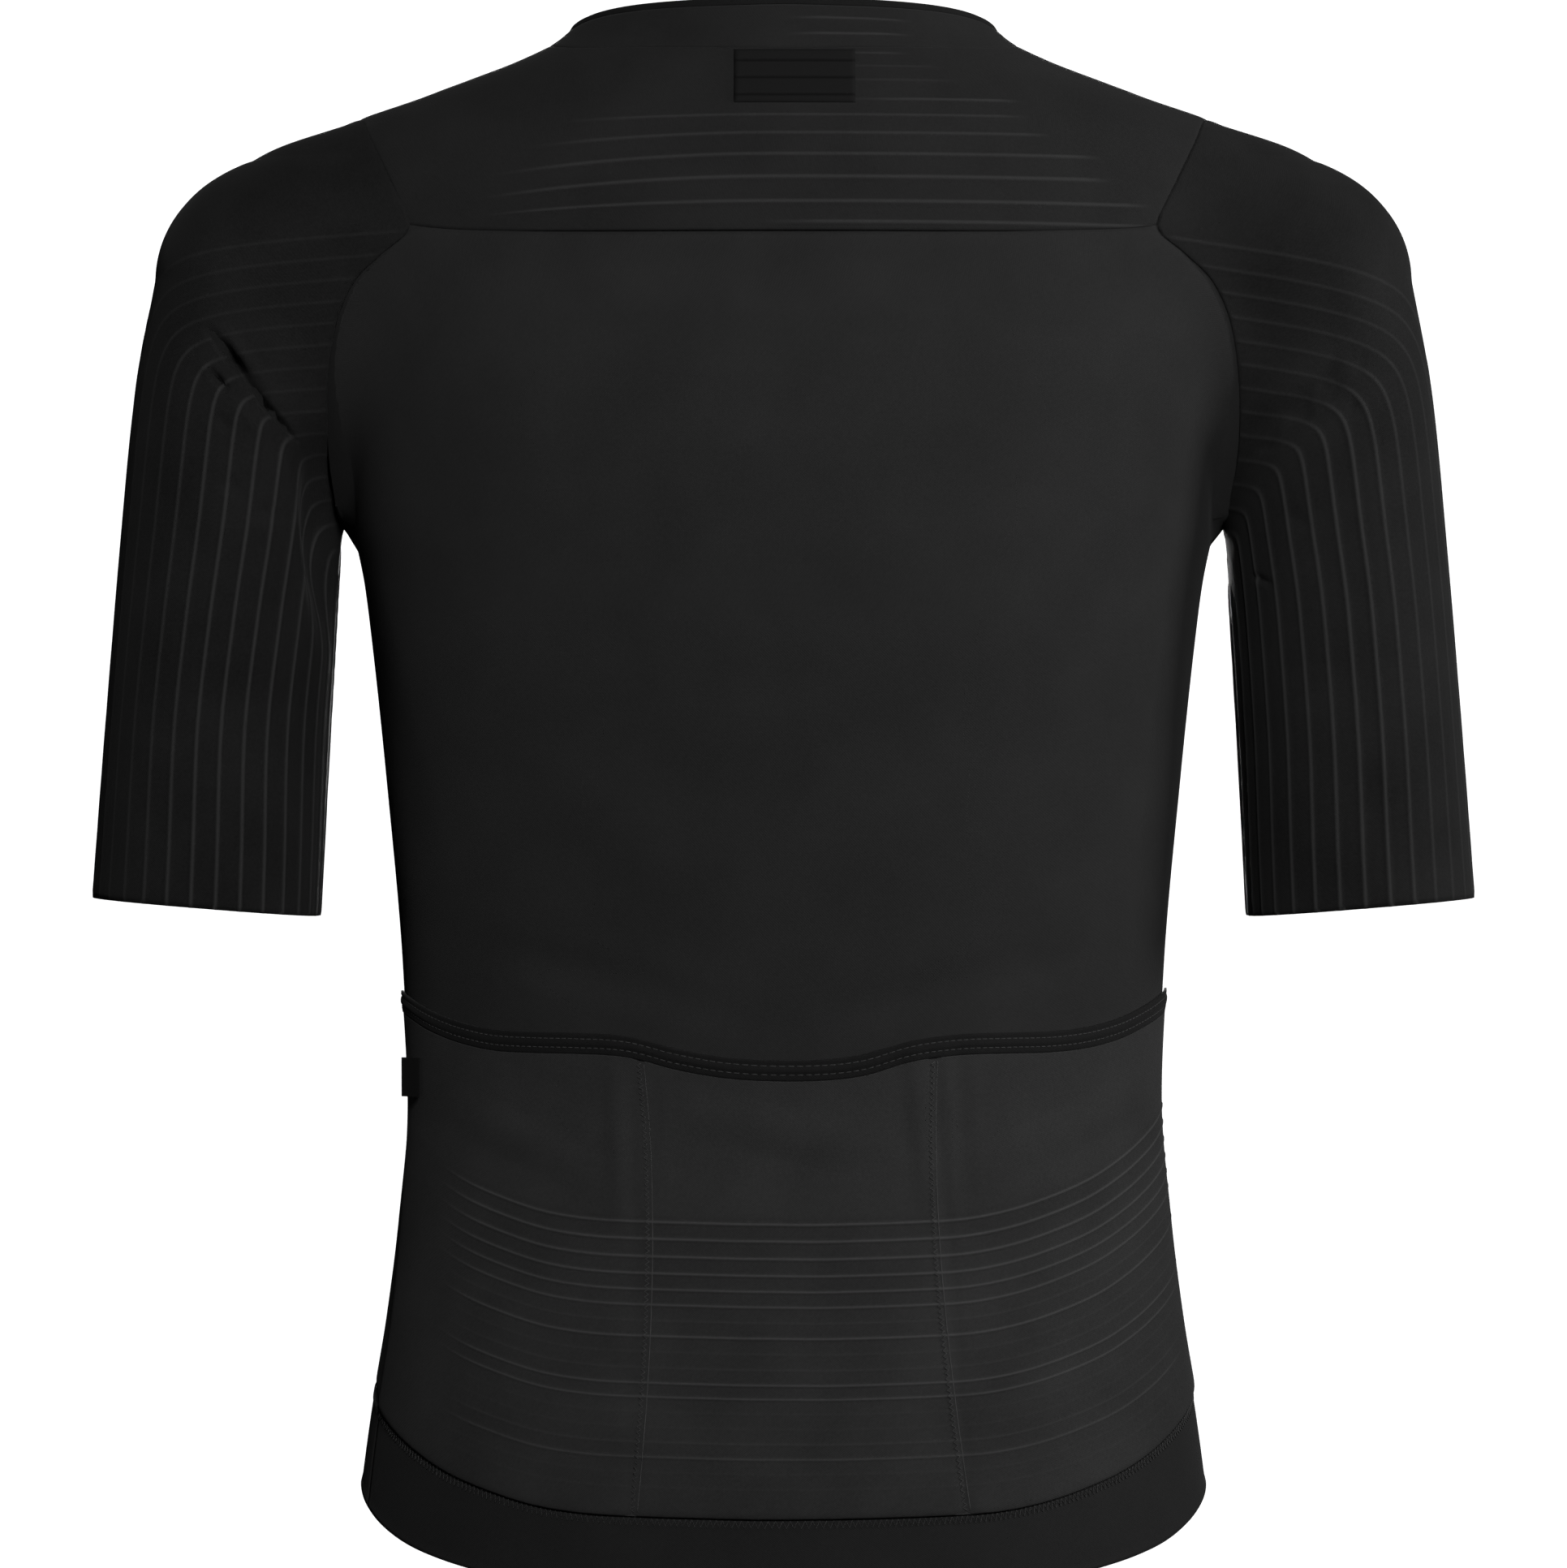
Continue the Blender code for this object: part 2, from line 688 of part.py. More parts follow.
def build_back(finish, rib_finish, band_finish):
    edges = {side: back_side_lines(side) for side in SIDES}
    turns = back_turns(MOUTH_HEIGHT)
    mouth = mouth_line(turns)
    mouth[0], mouth[-1] = edges["right"][1][-1], edges["left"][1][-1]
    below = mouth_line(back_turns(BAND_HEIGHT), MOUTH_BAND)
    below[0], below[-1] = edges["right"][2][-1], edges["left"][2][-1]
    seam = hem_line(back_turns(SEAM_HEIGHT), "seam")
    seam[0], seam[-1] = edges["right"][3][-1], edges["left"][3][-1]

    # The three stacked grids share their points, so the back panel is one wall.
    upper_left = join_lines(*edges["right"][:2])[::-1]
    upper_right = join_lines(*edges["left"][:2])[::-1]
    upper = patch(mouth, yoke_seam(), upper_left, upper_right)
    band = np.stack([below, mouth])
    pocket_sides = edges["right"][3][::-1], edges["left"][3][::-1]
    lower = patch(seam, below, *pocket_sides)
    grid = drawn_back(
        np.concatenate([lower[:-1], band[:-1], upper]), ("bottom", "top", "left", "right")
    )
    add_cloth("back_panel", grid, grid - WALL * outward(grid), finish)

    pocket_height = MOUTH_AT["edge"](0.0) - MOUTH_BAND - HEM_AT["seam"](0.0)
    ribs = round(pocket_height / POCKET_RIB_PITCH)
    step = POCKET_STEPS / ribs
    lift = LAYER_GAP + WALL
    add_panel(
        "pocket_panel",
        (seam, below, *pocket_sides),
        ("bottom", "top", "left", "right"),
        rib_finish,
        ribs=((np.arange(ribs) + 0.5) * step, step / 2),
        lift=lift,
    )
    add_panel(
        "pocket_mouth_band",
        (below, mouth, edges["right"][2][::-1], edges["left"][2][::-1]),
        ("bottom", "left", "right"),
        band_finish,
        lift=lift,
    )
    return seam


def build_yoke(finish):
    neck = neck_line(neck_back_turns(), "seam")
    right_side = join_lines(ARMHOLE_YOKE[::-1], SHOULDER)
    neck[-1], neck[0] = SHOULDER[-1], mirrored(SHOULDER[-1])
    left_side = mirrored(right_side)
    seam = yoke_seam()
    # Ribs keep one pitch along the middle of the back.
    steps = len(right_side) - 1
    fine_steps = np.linspace(0, steps, 81)
    middle = settle(along(patch(seam, neck, left_side, right_side)[:, BACK_STEPS // 2], fine_steps))
    lengths = np.concatenate([[0], np.cumsum(np.linalg.norm(np.diff(middle, axis=0), axis=1))])
    places = np.arange(YOKE_RIB_PITCH * 0.35, lengths[-1] - YOKE_RIB_PITCH * 0.3, YOKE_RIB_PITCH)
    crests = np.interp(places, lengths, fine_steps)
    add_panel(
        "back_yoke",
        (seam, neck, left_side, right_side),
        ("bottom", "top", "left", "right"),
        finish,
        ribs=(crests, YOKE_RIB_FOOT),
    )


def front_edge_turn(heights, offset):
    """The turn at which the trunk's front lies this far from the middle."""
    share = offset / TRUNK_AT["half_width"](heights)
    return 180 - np.degrees(np.arcsin(signed_power(share, TRUNK_ROUNDNESS / 2)))


def front_line(heights, offset):
    """A line up the front, this far from the middle, on the left."""
    return on_trunk(front_edge_turn(heights, offset), heights)


def edge_height_at(edge_at, offset):
    height = edge_at(180.0)
    for _ in range(8):
        height = edge_at(front_edge_turn(height, offset))
    return float(height)


TAPE_EDGE = SEAM_GAP / 2 + TAPE_WIDTH
FRONT_HEIGHTS = {
    "edge": edge_height_at(HEM_AT["edge"], TAPE_EDGE),
    "seam": edge_height_at(HEM_AT["seam"], TAPE_EDGE),
    "neck": edge_height_at(NECK_AT["seam"], TAPE_EDGE),
    "top": edge_height_at(NECK_AT["top"], TAPE_EDGE),
}
FRONT_HEIGHTS["binding"] = FRONT_HEIGHTS["top"] - BINDING_WIDTH * BINDING_STEEPNESS
FRONT_ROWS = WAIST_STEPS + 1 + POCKET_STEPS + FRONT_LOOP + SHOULDER_STEPS
COLLAR_STEPS = 2
BINDING_STEPS = 1


@functools.lru_cache
def centre_lines(offset):
    """Up the front at one offset: hem band, panel, collar and binding, with matching steps."""
    stops = [FRONT_HEIGHTS[name] for name in ("edge", "seam", "neck", "binding", "top")]
    counts = BAND_STEPS, FRONT_ROWS, COLLAR_STEPS, BINDING_STEPS
    return [
        front_line(np.linspace(low, high, count + 1), offset)
        for low, high, count in zip(stops, stops[1:], counts)
    ]


def front_turns(start, end):
    share = np.linspace(0, 1, FRONT_STEPS + 1)
    return start + share * (end - start)


def build_front(side, finish):
    """A front panel, from the side seam and armhole to the zip tape."""
    flip = FLIP[side]
    _, waist, band, pocket = back_side_lines(side)
    below_arm = join_lines(waist, band, pocket) * flip
    # The outer edge runs up the side, round the armhole and along the shoulder.
    outer_side = join_lines(below_arm[::-1], ARMHOLE_FRONT, SHOULDER)
    inner_side = centre_lines(TAPE_EDGE)[1]
    ends = wrap(below_arm[-1])[0], wrap(inner_side[0])[0]
    bottom = hem_line(front_turns(*ends), "seam")
    bottom[0], bottom[-1] = below_arm[-1], inner_side[0]
    neck = neck_line(front_turns(90.0, wrap(inner_side[-1])[0]), "seam")
    neck[0], neck[-1] = SHOULDER[-1], inner_side[-1]
    seams = [line * flip for line in (bottom, neck, outer_side, inner_side)]
    add_panel("front_" + side, seams, ("bottom", "top", "left", "right"), finish)
    return bottom * flip


def build_zip_tape(side, finish):
    flip = FLIP[side]
    inner = join_lines(*centre_lines(SEAM_GAP / 2))
    outer = join_lines(*centre_lines(TAPE_EDGE))
    grid = np.stack([inner, outer], axis=1)
    grid = drawn_back(grid * flip, ("right",))
    add_cloth("zip_tape_" + side, grid, grid - WALL * outward(grid), finish)


def build_hem_band(name, seam, edge, finish, joined=("top", "left", "right")):
    steps = np.linspace(0, 1, BAND_STEPS + 1)[:, None]
    start = settle(edge[0] + steps * (seam[0] - edge[0]))
    end = settle(edge[-1] + steps * (seam[-1] - edge[-1]))
    start[0], start[-1], end[0], end[-1] = edge[0], seam[0], edge[-1], seam[-1]
    add_panel(name, (edge, seam, start, end), joined, finish)


def build_hem(back_seam, front_seams, finish):
    turns = back_turns(EDGE_HEIGHT)
    build_hem_band("hem_band_back", back_seam, hem_line(turns, "edge"), finish)
    for side in SIDES:
        seam = front_seams[side]
        sign = FLIP[side][0]
        first = sign * side_turn(EDGE_HEIGHT[side], side)
        last = sign * front_edge_turn(FRONT_HEIGHTS["edge"], TAPE_EDGE)
        share = (wrap(seam)[:, 0] - wrap(seam)[0, 0]) / (wrap(seam)[-1, 0] - wrap(seam)[0, 0])
        edge = hem_line(first + share * (last - first), "edge")
        edge[-1] = centre_lines(TAPE_EDGE)[0][0] * FLIP[side]
        build_hem_band("hem_band_front_" + side, seam, edge, finish)


def collar_turns():
    """From the right of the zip round the back of the neck to the left of the zip."""
    end = wrap(centre_lines(TAPE_EDGE)[1][-1])[0]
    front = front_turns(90.0, end)
    return np.concatenate([-front[::-1], neck_back_turns()[1:-1], front])


def build_collar(finish, binding_finish):
    turns = collar_turns()
    _, _, collar_edge, binding_edge = centre_lines(TAPE_EDGE)
    seam = neck_line(turns, "seam")
    top = neck_line(turns, "top")
    rise = np.linalg.norm(top - seam, axis=1)[:, None]
    below = settle(top + (seam - top) * BINDING_WIDTH / rise)
    for line, end in ((seam, collar_edge[0]), (below, collar_edge[-1]), (top, binding_edge[-1])):
        line[0], line[-1] = mirrored(end), end
    body = (seam, below, mirrored(collar_edge), collar_edge)
    add_panel("collar", body, ("bottom", "top", "left", "right"), finish)
    edge = (below, top, mirrored(binding_edge), binding_edge)
    add_panel("collar_binding", edge, ("bottom", "left", "right"), binding_finish)


# --- Sleeves -----------------------------------------------------------------------------


def cuff_loop(count):
    """Evenly spaced points round the left cuff, from the outside over the back."""
    fine = np.radians(np.linspace(0, 360, 241))
    centre_x, centre_y = ARM_AT["centre_x"](CUFF_MIDDLE), ARM_AT["centre_y"](CUFF_MIDDLE)
    across = signed_power(np.cos(fine), 2 / ARM_ROUNDNESS) * ARM_AT["half_width"](CUFF_MIDDLE)
    deep = signed_power(np.sin(fine), 2 / ARM_ROUNDNESS) * ARM_AT["half_depth"](CUFF_MIDDLE)
    heights = CUFF_MIDDLE + across * math.tan(CUFF_TILT)
    points = settle(np.stack([centre_x + across, centre_y + deep, heights], axis=-1))
    return spaced(points, count)


def sleeve_lines(stops):
    """The armhole, mitre and cuff points of each lengthwise line, at stops round the loop."""
    loop = np.concatenate([ARMHOLE_LOOP, ARMHOLE_LOOP[:1]])
    cuff = cuff_loop(LOOP_STEPS)
    armhole = along(loop, stops)
    low = along(cuff, stops)
    centre = ARM_AT["centre_x"](CUFF_MIDDLE)
    half = ARM_AT["half_width"](CUFF_MIDDLE)
    share = np.clip((low[:, 0] - centre) / half, -1, 1) * 0.5 + 0.5
    below_armpit = 0.022
    mitre_low = np.array([ARMPIT[0] + 0.003, ARMPIT[1] - below_armpit])
    mitre = np.empty_like(armhole)
    flat = mitre_low + share[:, None] * (np.array(MITRE_TOP) - mitre_low)
    mitre[:, 0], mitre[:, 2] = flat[:, 0], flat[:, 1]
    depth = ARM_AT["half_depth"](mitre[:, 2])
    mitre[:, 1] = low[:, 1] / ARM_AT["half_depth"](CUFF_MIDDLE) * depth
    return armhole, settle(mitre), low


def sleeve_grid(stops):
    """Rows from cuff to armhole and columns round the sleeve, on the form."""
    armhole, mitre, low = sleeve_lines(stops)
    shares = np.concatenate(
        [np.linspace(0, 1, SLEEVE_LOW_STEPS + 1)[:-1], np.linspace(1, 2, SLEEVE_TOP_STEPS + 1)]
    )
    rows = []
    for share in shares:
        if share <= 1 - MITRE_ROUNDING:
            row = low + (mitre - low) * share
        elif share >= 1 + MITRE_ROUNDING:
            row = mitre + (armhole - mitre) * (share - 1)
        else:
            # A round corner in place of the mitre's point.
            t = (share - 1 + MITRE_ROUNDING) / (2 * MITRE_ROUNDING)
            start = low + (mitre - low) * (1 - MITRE_ROUNDING)
            end = mitre + (armhole - mitre) * MITRE_ROUNDING
            row = (1 - t) ** 2 * start + 2 * t * (1 - t) * mitre + t * t * end
        rows.append(row)
    grid = settle(np.array(rows))
    grid[-1] = armhole
    return grid


def build_sleeve(side, finish):
    plain = np.arange(LOOP_STEPS + 1.0)
    step = LOOP_STEPS / SLEEVE_RIBS
    crests = [(index + 0.5) * step for index in range(SLEEVE_RIBS)]
    stops, relief = rib_stops(crests, step / 2, LOOP_STEPS)
    joined = ("top",)
    inner = drawn_back(sleeve_grid(plain), joined)
    outer = drawn_back(sleeve_grid(stops), joined)
    # Ribs sink where the cloth is gathered, as under the arm, and end at the armhole.
    gaps = np.linalg.norm(np.diff(outer, axis=1), axis=-1)
    gaps = (np.concatenate([gaps[:, -1:], gaps], axis=1) + np.concatenate([gaps, gaps[:, :1]], axis=1)) / 2
    fade = np.clip(gaps / gaps[0].mean(), 0, 1) ** 2
    fade[-1] = 0
    outer = outer + (RIB_RISE * relief * fade)[..., None] * outward(outer)
    inner = inner - WALL * outward(inner)
    flip = FLIP[side]
    add_cloth("sleeve_" + side, outer * flip, inner * flip, finish, tube=True)


# --- Hard pieces -------------------------------------------------------------------------


def prism(name, outline, start, end, finish, place=None, thick_axis=2):
    """A solid from an outline in two axes, drawn out along the third."""
    shape = bmesh.new()
    corners = []
    for first, second in outline:
        corner = [first, second]
        corner.insert(thick_axis, start)
        corners.append(shape.verts.new(corner))
    face = shape.faces.new(corners)
    drawn = bmesh.ops.extrude_face_region(shape, geom=[face])
    moved = [item for item in drawn["geom"] if isinstance(item, bmesh.types.BMVert)]
    step = Vector((0, 0, 0))
    step[thick_axis] = end - start
    bmesh.ops.translate(shape, verts=moved, vec=step)
    bmesh.ops.recalc_face_normals(shape, faces=shape.faces)
    mesh = bpy.data.meshes.new(name)
    shape.to_mesh(mesh)
    shape.free()
    mesh.materials.append(finish)
    solid = bpy.data.objects.new(name, mesh)
    bpy.context.scene.collection.objects.link(solid)
    if place is not None:
        solid.matrix_world = place
    return solid


def rectangle(width, length, middle=(0.0, 0.0)):
    x, y = middle
    half, reach = width / 2, length / 2
    return [(x - half, y - reach), (x + half, y - reach), (x + half, y + reach), (x - half, y + reach)]


def with_boolean(solid, other, operation):
    modifier = solid.modifiers.new(operation.lower(), "BOOLEAN")
    modifier.operation = operation
    modifier.object = other
    other.hide_render = True
    other.display_type = "WIRE"


def frame_at(point, up, facing):
    """A placement with +Y up the cloth and +Z out of it."""
    facing = Vector(facing).normalized()
    across = Vector(up).cross(facing).normalized()
    turned = Matrix((across, facing.cross(across), facing)).transposed().to_4x4()
    return Matrix.Translation(Vector(point)) @ turned


def zip_frame():
    point = settle(np.array([0.0, TRUNK_AT["front"](SLIDER_MIDDLE), SLIDER_MIDDLE]))
    return frame_at(point, (0, 0, 1), outward(point))


def build_slider(finish):
    place = zip_frame()
    top = LAYER_GAP + SLIDER_THICKNESS
    half, length = SLIDER_WIDTH / 2, SLIDER_LENGTH / 2
    waist = half * 0.72
    # The body is wide at the top, where the two sides of the zip part.
    plate = [(-waist, -length), (waist, -length), (half, length * 0.35), (half, length * 0.8)]
    plate += [(half * 0.6, length), (-half * 0.6, length), (-half, length * 0.8), (-half, length * 0.35)]
    slider = prism("zip_slider", plate, LAYER_GAP, top, finish, place)
    reach, rise = BRIDGE_LENGTH / 2, top + BRIDGE_RISE
    slot, ceiling = reach - BRIDGE_WALL, rise - BRIDGE_WALL
    sunk = top - SLIDER_THICKNESS / 2
    arch = [(-reach, sunk), (-reach, ceiling), (-slot, rise), (slot, rise), (reach, ceiling), (reach, sunk)]
    arch += [(slot, sunk), (slot, ceiling), (-slot, ceiling), (-slot, sunk)]
    bridge = prism("bridge", arch, -BRIDGE_WIDTH / 2, BRIDGE_WIDTH / 2, finish, place, thick_axis=0)
    with_boolean(slider, bridge, "UNION")
    return place


def build_pull(place, finish):
    """The tab, hung by a bar under the slider's bridge. Its origin is on the hinge axis."""
    middle_of_slot = LAYER_GAP + SLIDER_THICKNESS + (BRIDGE_RISE - BRIDGE_WALL) / 2
    hinge = place @ Matrix.Translation((0, -PULL_DROP, middle_of_slot))
    half, narrow = PULL_WIDTH / 2, PULL_WIDTH * 0.36
    top = PULL_BAR / 2
    shoulder = -(top + PULL_HOLE_LENGTH + PULL_BAR)
    end = top - PULL_LENGTH
    outline = [(-half, top), (-half, shoulder), (-narrow, shoulder - 0.0025)]
    turns = np.linspace(math.pi, 2 * math.pi, 9)
    outline += [(narrow * math.cos(turn), end + narrow + narrow * math.sin(turn)) for turn in turns]
    outline += [(narrow, shoulder - 0.0025), (half, shoulder), (half, top)]
    thick = PULL_THICKNESS / 2
    pull = prism("zip_pull", outline, -thick, thick, finish, hinge)
    hole = rectangle(PULL_HOLE_WIDTH, PULL_HOLE_LENGTH, (0, -(top + PULL_HOLE_LENGTH / 2)))
    cutter = prism("pull_hole", hole, -PULL_WIDTH, PULL_WIDTH, finish, hinge)
    with_boolean(pull, cutter, "DIFFERENCE")
    bevel = pull.modifiers.new("bevel", "BEVEL")
    bevel.width = EDGE_BEVEL
    bevel.segments = 1
    bevel.limit_method = "ANGLE"
    bevel.angle_limit = math.radians(60)


def build_side_tab(finish):
    """A folded tab caught in the left side seam, standing a little off the cloth."""
    base = on_trunk(np.array([TAB_TURN]), np.array([TAB_MIDDLE]))[0]
    facing = outward(base)
    up = np.array([0.0, 0.0, 1.0])
    towards_front = np.cross(up, facing)
    towards_front = towards_front / np.linalg.norm(towards_front)
    if towards_front[1] > 0:
        towards_front = -towards_front
    along_tab = math.cos(TAB_SPLAY) * towards_front + math.sin(TAB_SPLAY) * facing
    tab_facing = np.cross(along_tab, up)
    if tab_facing @ facing < 0:
        tab_facing = -tab_facing
    clear = 2 * LAYER_GAP + WALL + RIB_RISE
    place = frame_at(base + clear * facing, along_tab, tab_facing)
    outline = rectangle(TAB_HEIGHT, TAB_LENGTH, (0, TAB_LENGTH / 2))
    prism("side_tab", outline, 0.0, TAB_THICKNESS, finish, place)


def main():
    clear_scene()
    knit = plain_finish("smooth_knit", (0.030, 0.031, 0.033), 0.8)
    ribbed = plain_finish("ribbed_knit", (0.034, 0.035, 0.037), 0.8)
    elastic = plain_finish("elastic_band", (0.020, 0.020, 0.022), 0.85)
    tape = plain_finish("zip_tape", (0.014, 0.014, 0.015), 0.8)
    back_seam = build_back(knit, ribbed, elastic)
    build_yoke(ribbed)
    front_seams = {}
    for side in SIDES:
        front_seams[side] = build_front(side, knit)
        build_zip_tape(side, tape)
        build_sleeve(side, ribbed)
    build_hem(back_seam, front_seams, elastic)
    build_collar(ribbed, elastic)
    coated = plain_finish("coated_metal", (0.016, 0.016, 0.017), 0.4, metallic=0.6)
    build_pull(build_slider(coated), coated)
    build_side_tab(plain_finish("woven_tab", (0.006, 0.006, 0.006), 0.7))


main()
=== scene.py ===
import functools
import math
from collections import namedtuple

import bmesh
import bpy
import numpy as np
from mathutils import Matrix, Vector


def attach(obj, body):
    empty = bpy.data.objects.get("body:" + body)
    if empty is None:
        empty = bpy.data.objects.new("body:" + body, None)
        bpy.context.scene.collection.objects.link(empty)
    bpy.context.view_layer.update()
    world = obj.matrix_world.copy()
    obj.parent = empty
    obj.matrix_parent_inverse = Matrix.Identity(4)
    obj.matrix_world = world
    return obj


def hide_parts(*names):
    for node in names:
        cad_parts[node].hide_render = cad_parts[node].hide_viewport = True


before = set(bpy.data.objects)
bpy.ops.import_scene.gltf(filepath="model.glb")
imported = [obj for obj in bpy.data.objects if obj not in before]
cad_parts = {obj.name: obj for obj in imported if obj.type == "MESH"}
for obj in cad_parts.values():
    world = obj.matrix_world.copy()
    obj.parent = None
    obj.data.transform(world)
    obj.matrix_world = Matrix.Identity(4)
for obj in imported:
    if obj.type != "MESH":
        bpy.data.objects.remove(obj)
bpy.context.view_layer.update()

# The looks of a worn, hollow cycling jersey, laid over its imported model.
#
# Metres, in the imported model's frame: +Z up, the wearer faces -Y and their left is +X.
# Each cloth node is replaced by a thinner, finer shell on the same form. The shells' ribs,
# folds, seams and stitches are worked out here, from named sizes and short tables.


def table(fields, *rows):
    """Rows of values under named columns."""
    row_type = namedtuple("Row", fields)
    return tuple(row_type(*row) for row in rows)


# The solids' walls, and the gap between two layers
WALL = 0.0012
LAYER_GAP = 0.0003

# Where the seams lie, and how some of them curve
ARMPIT = (0.1810, -0.1965)
ARMHOLE_MIDDLE = -0.115
MITRE_TOP = (0.2520, -0.0740)
MITRE_FROM_ARMPIT = (0.003, -0.022)
YOKE_SEAM = -0.0855
MOUTH_BAND = 0.0085
BINDING_WIDTH = 0.0036
BINDING_STEEPNESS = 0.85
MITRE_ROUNDING = 0.30
SHOULDER_RISE = 0.58
CUFF_MIDDLE = -0.3576
CUFF_TILT = math.radians(4.7)
TAPE_WIDTH = 0.0068

# Grid steps, how far some crowd towards one end, and how often grids are evened out
WAIST_CROWDING = 1.35
BACK_CROWDING = 0.020
BACK_STEPS = 20
FRONT_STEPS = 10
SHOULDER_STEPS = 5
WAIST_STEPS = 7
POCKET_STEPS = 6
BAND_STEPS = 2
COLLAR_STEPS = 2
BINDING_STEPS = 1
YOKE_LOOP = 4
BACK_LOOP = 10
FRONT_LOOP = 14
LOOP_STEPS = YOKE_LOOP + BACK_LOOP + FRONT_LOOP
SLEEVE_TOP_STEPS = 5
SLEEVE_LOW_STEPS = 6
RELAX_ROUNDS = 5
RELAX_PASSES = 8
SLEEVE_ROUNDS = 4
SLEEVE_PASSES = 3

# How finely each grid step is cut, up the grid and across it
SPLITS = {
    "back": (8, 8), "pocket": (60, 8), "mouth": (12, 8), "yoke": (12, 12), "front": (8, 8),
    "tape": (4, 8), "hem": (12, 8), "collar": (8, 8), "sleeve": (16, 12),
}
# The inner faces of the cloth have one of each so many points.
INNER_EVERY = 4

# Seam grooves: how far the cloth rolls in at a seam, and how far from it the groove reaches
GROOVES = {
    "plain": (0.0007, 0.0012), "back": (0.0012, 0.0035), "yoke": (0.0006, 0.0030),
    "neck": (0.0002, 0.0012), "collar": (0.0005, 0.0012), "hem": (0.0002, 0.0008),
    "sleeve": (0.0005, 0.0020),
}

# Knit: its thickness, loops, flecks and mottle, and its ribs: the shares of their pitch that
# are lighter and raised, how much lighter they are, their rise, and the shade between them
CLOTH = 0.0009
GAUGE = 0.0011
LOOP_SQUASH = 0.8
LOOP_DEPTH = 0.00012
YARN_SCALE = 900.0
CLOUD_SCALE = 28.0
FLECK = 1.1
MOTTLE = 1.5
RIB_WIDTH = 0.13
RIB_FOOT = 0.16
RIB_TONE = 0.75
RIB_RISE = 0.0006
POCKET_RIB_RISE = 0.0004
YOKE_RIB_FOOT = 0.20
RIBBED_SHADE = 0.085
CLOTH_ROUGHNESS = 0.85
CLOTH_SHEEN = 0.02
SPECULAR = 0.12

# Knits: the dark and light yarn, the tone between them, the gauge, and whether ribs show
KNITS = {
    "fine_knit": (0.0090, 0.0202, 0.45, GAUGE, False),
    "pocket_knit": (0.0112, 0.0385, 0.31, GAUGE, True),
    "band_knit": (0.0026, 0.0085, 0.45, GAUGE, False),
    "yoke_knit": (0.0062, 0.0240, 0.27, GAUGE, True),
    "tape_weave": (0.006, 0.015, 0.45, GAUGE, False),
    "hem_knit": (0.0058, 0.0125, 0.45, GAUGE, False),
    "collar_knit": (0.0064, 0.0240, 0.28, GAUGE, True),
    "sleeve_knit": (0.0016, 0.0240, 0.27, GAUGE, True),
    "tab_weave": (0.0008, 0.0026, 0.45, 0.0008, False),
}

# Stitches, and how far from the ends of a seam they start, in grid steps
STITCH_RADIUS = 0.0002
STITCH_LENGTH = 0.0026
STITCH_LIFT = 0.0001
STITCH_SINK = 0.0005
ZIGZAG_LIFT = 0.0002
THREAD_SIDES = 5
SPAN_SAMPLES = 41
END_MARGIN = 0.05

# Pockets: the ribs at the top without shade between them, where each end of the ribs fades
# and how far, the seams between pockets, and the mouth band's swell between its stitch rows
PLAIN_RIBS = 2.4
POCKET_FADES = (0.142, 0.022), (-0.165, -0.012)
DIVIDER_DIP = 0.0007
DIVIDER_REACH = 0.0028
DIVIDER_CORD = -0.10
DIVIDER_ZIGZAG = 0.0016, 0.0022
DIVIDER_RADIUS = 0.00022
DIVIDER_SAMPLES = 121
MOUTH_SWELL = 0.0005
MOUTH_ROWS = 0.30, 0.72
MOUTH_ROW_WIDTH = 0.08
MOUTH_MARGIN = 0.02

# Hem elastic, collar binding, cuffs: how they swell, sink or thin, and how far from the edge
HEM_SWELL, HEM_SWELL_REACH, HEM_SINK = 0.0004, 0.003, 0.0003
HEM_ZIGZAG = 0.0030, 0.0021
HEM_ZIGZAG_PLACE = 0.93
BINDING_SWELL, BINDING_SWELL_REACH, BINDING_SINK = 0.0007, 0.55, 0.0002
CUFF_THINNING, CUFF_THINNING_REACH = 0.0003, 0.002

# Ribs across the pockets: how far each lies above the hem seam, and how clearly it shows.
POCKET_LINES = table(
    "height strength",
    (-0.001, 0.0), (0.0055, 0.0), (0.0118, 0.1), (0.0178, 0.1), (0.0237, 0.6), (0.0297, 0.25),
    (0.0357, 0.1), (0.0417, 0.1), (0.0476, 0.8), (0.0531, 0.85), (0.0592, 0.2), (0.0655, 0.15),
    (0.0718, 0.9), (0.078, 0.2), (0.0843, 0.85), (0.0905, 0.9), (0.0969, 0.95), (0.1037, 0.95),
    (0.1108, 1.0), (0.1176, 1.0), (0.1245, 0.0), (0.19, 0.0),
)

# Ribs across the yoke: height at the middle, where each ends, its sag to the left, strength.
YOKE_LINES = table(
    "height left_end right_end sag strength",
    (0.0035, 0.01, -0.01, 0.0, 0.0), (-0.0057, -0.004, -0.05, 0.0, 0.0),
    (-0.012, 0.002, -0.053, 0.0, 0.7), (-0.0174, 0.002, -0.068, 0.0, 0.4),
    (-0.0232, 0.002, -0.072, 0.001, 0.4), (-0.0316, -0.016, -0.098, 0.002, 1.0),
    (-0.0381, 0.095, -0.1, 0.004, 0.75), (-0.0456, 0.108, -0.11, 0.007, 0.8),
    (-0.0544, 0.122, -0.13, 0.008, 0.9), (-0.0638, 0.128, -0.134, 0.0075, 1.0),
    (-0.074, 0.128, -0.15, 0.0045, 1.0), (-0.0822, 0.016, -0.164, 0.0005, 1.0),
    (-0.092, 0.0, 0.0, 0.0, 0.0),
)

